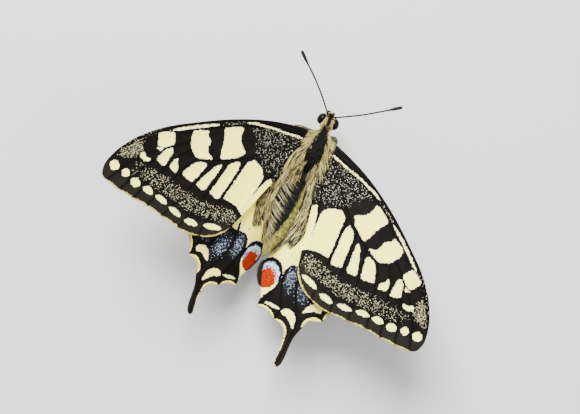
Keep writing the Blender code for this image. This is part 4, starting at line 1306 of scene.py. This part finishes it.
end = skin_place(y, end_turn) + dice.uniform(0.15, 0.4, (count, 1)) * skin_normal(y, end_turn)
fan = tuft_mesh("abdomen_fan_left", bent(start, middle, end), skin_normal(shoulder, shoulder_turn),
                0.028 * dice.uniform(0.6, 1.3, count), strand_colours(dice, count, GREY_HAIR, 0.15),
                skin_patch(y, end_turn), hair_finish)

# Hair in four kinds over the wing roots: flank, collar, waist and root. Each has its count, the limits of
# y, of the turn down from the back and of the length, the mean, spread and least of its lean outwards, the
# height it comes to lie at, and its tone.
ROOT_HAIR = np.array([(540, -2.4, 4.4, 0.10, 0.21, 1.4, 4.8, 0.30, 0.24, 0.05, 9.95, 1.1),
                      (480, -4.1, -1.2, 0.10, 0.21, 1.5, 3.3, 0.85, 0.25, 0.4, 9.2, 1.1),
                      (60, 1.5, 4.3, 0.05, 0.11, 1.8, 4.0, 0.05, 0.12, -0.1, 9.9, 0.7),
                      (200, -3.6, -0.6, 0.17, 0.25, 1.0, 1.8, 1.6, 0.4, 0.8, 9.0, 0.7)])
for number, (side, sign) in enumerate(SIDES.items()):
    dice = np.random.default_rng(90 + number)
    strands = np.repeat(ROOT_HAIR, ROOT_HAIR[:, 0].astype(int), axis=0).T
    front, rear, low, high, shortest, longest, lean, spread, least, height, tone = strands[1:]
    total = len(tone)
    y = dice.uniform(front, rear)
    turn = 0.5 - sign * dice.uniform(low, high)
    root, out = skin_place(y, turn), skin_normal(y, turn)
    long = dice.uniform(shortest, longest)
    long = (long * (0.65 + 0.35 * ramp(y, -3, 1)))[:, None]
    away = np.maximum(dice.normal(lean, spread), least)[:, None]
    step = long * ((0.0, 0.95, 0.0) + away * np.array([sign, 0.0, 0.0]))
    _, hinge, _, sideways, rearward = FOREWING_POSE[side]
    end = root + step
    over_wing = np.clip(sign * end[:, 0] - hinge[0], 0, 9) * np.tan(np.radians(sideways))
    over_wing = over_wing + (end[:, 1] - hinge[1]) * np.tan(np.radians(rearward))
    end[:, 2] = height + over_wing + dice.uniform(0.0, 0.5, total)
    pale = TAN * tone[:, None]
    flank = tuft_mesh(f"flank_hair_{side}", bent(root - 0.1 * out, root + 0.5 * step + 0.35 * out, end), out,
                      0.040 * dice.uniform(0.6, 1.3, total), strand_colours(dice, total, pale, 0.32),
                      skin_patch(y, turn), hair_finish)


# ---- Floor, light and camera ------------------------------------------------------------------
# A plain pale floor, two big soft lamps and a pale sky. The camera looks down on the back, with the
# head towards the upper right.

floor_finish, tree, shader = new_material("pale_floor")
shader.inputs["Base Color"].default_value = (0.46, 0.455, 0.45, 1)
shader.inputs["Roughness"].default_value = 0.8
bpy.ops.mesh.primitive_plane_add(size=3.0)
floor = bpy.context.object
floor.name = "studio_floor"
floor.data.materials.append(floor_finish)

world = bpy.data.worlds.new("studio_sky")
world.use_nodes = True
world.node_tree.nodes["Background"].inputs["Color"].default_value = (0.95, 0.97, 1.0, 1)
world.node_tree.nodes["Background"].inputs["Strength"].default_value = 1.0
bpy.context.scene.world = world

CAMERA_LEAN = np.radians(7.0)
CAMERA_DISTANCE = 306.0
CAMERA_TARGET = np.array([-0.1, 11.7, 10.0])
HEAD_TURN = (0.4295, 0.9031)      # the head's direction in the picture: to the right, and up

head_way = np.array([0.0, -1.0, 0.0])
back = np.array([np.sin(CAMERA_LEAN), 0, np.cos(CAMERA_LEAN)])
ahead = unit(head_way - back * (head_way @ back))
beside = np.cross(ahead, back)
right = HEAD_TURN[0] * ahead + HEAD_TURN[1] * beside
top = HEAD_TURN[1] * ahead - HEAD_TURN[0] * beside

# The lamps' way from the butterfly, distance (m), size (m) and power (W).
LAMPS = {"key_lamp": (back * 0.95 + top * 0.8 - right * 0.12, 0.6, 0.35, 18.0),
         "fill_lamp": (back * 0.6 - top * 0.4 + right * 0.9, 0.7, 0.6, 4.0)}
for name, (way, distance, size, power) in LAMPS.items():
    lamp = bpy.data.objects.new(name, bpy.data.lights.new(name, "AREA"))
    lamp.data.size = size
    lamp.data.energy = power
    facing = unit(way)
    lamp.location = place(np.array([0, 8, 8])) + facing * distance
    turned = np.eye(4)
    turned[:3, 2] = facing
    turned[:3, 0] = unit(np.cross(top, facing))
    turned[:3, 1] = np.cross(turned[:3, 2], turned[:3, 0])
    turned[:3, 3] = lamp.location
    lamp.matrix_world = turned.T.tolist()
    bpy.context.scene.collection.objects.link(lamp)

camera = bpy.data.objects.new("camera", bpy.data.cameras.new("camera"))
camera.data.lens = 100
camera.data.sensor_width = 36
camera.data.clip_start = 0.01
view = np.eye(4)
view[:3, 0], view[:3, 1], view[:3, 2] = right, top, back
view[:3, 3] = place(CAMERA_TARGET + CAMERA_DISTANCE * back)
camera.matrix_world = view.T.tolist()
bpy.context.scene.collection.objects.link(camera)
bpy.context.scene.camera = camera
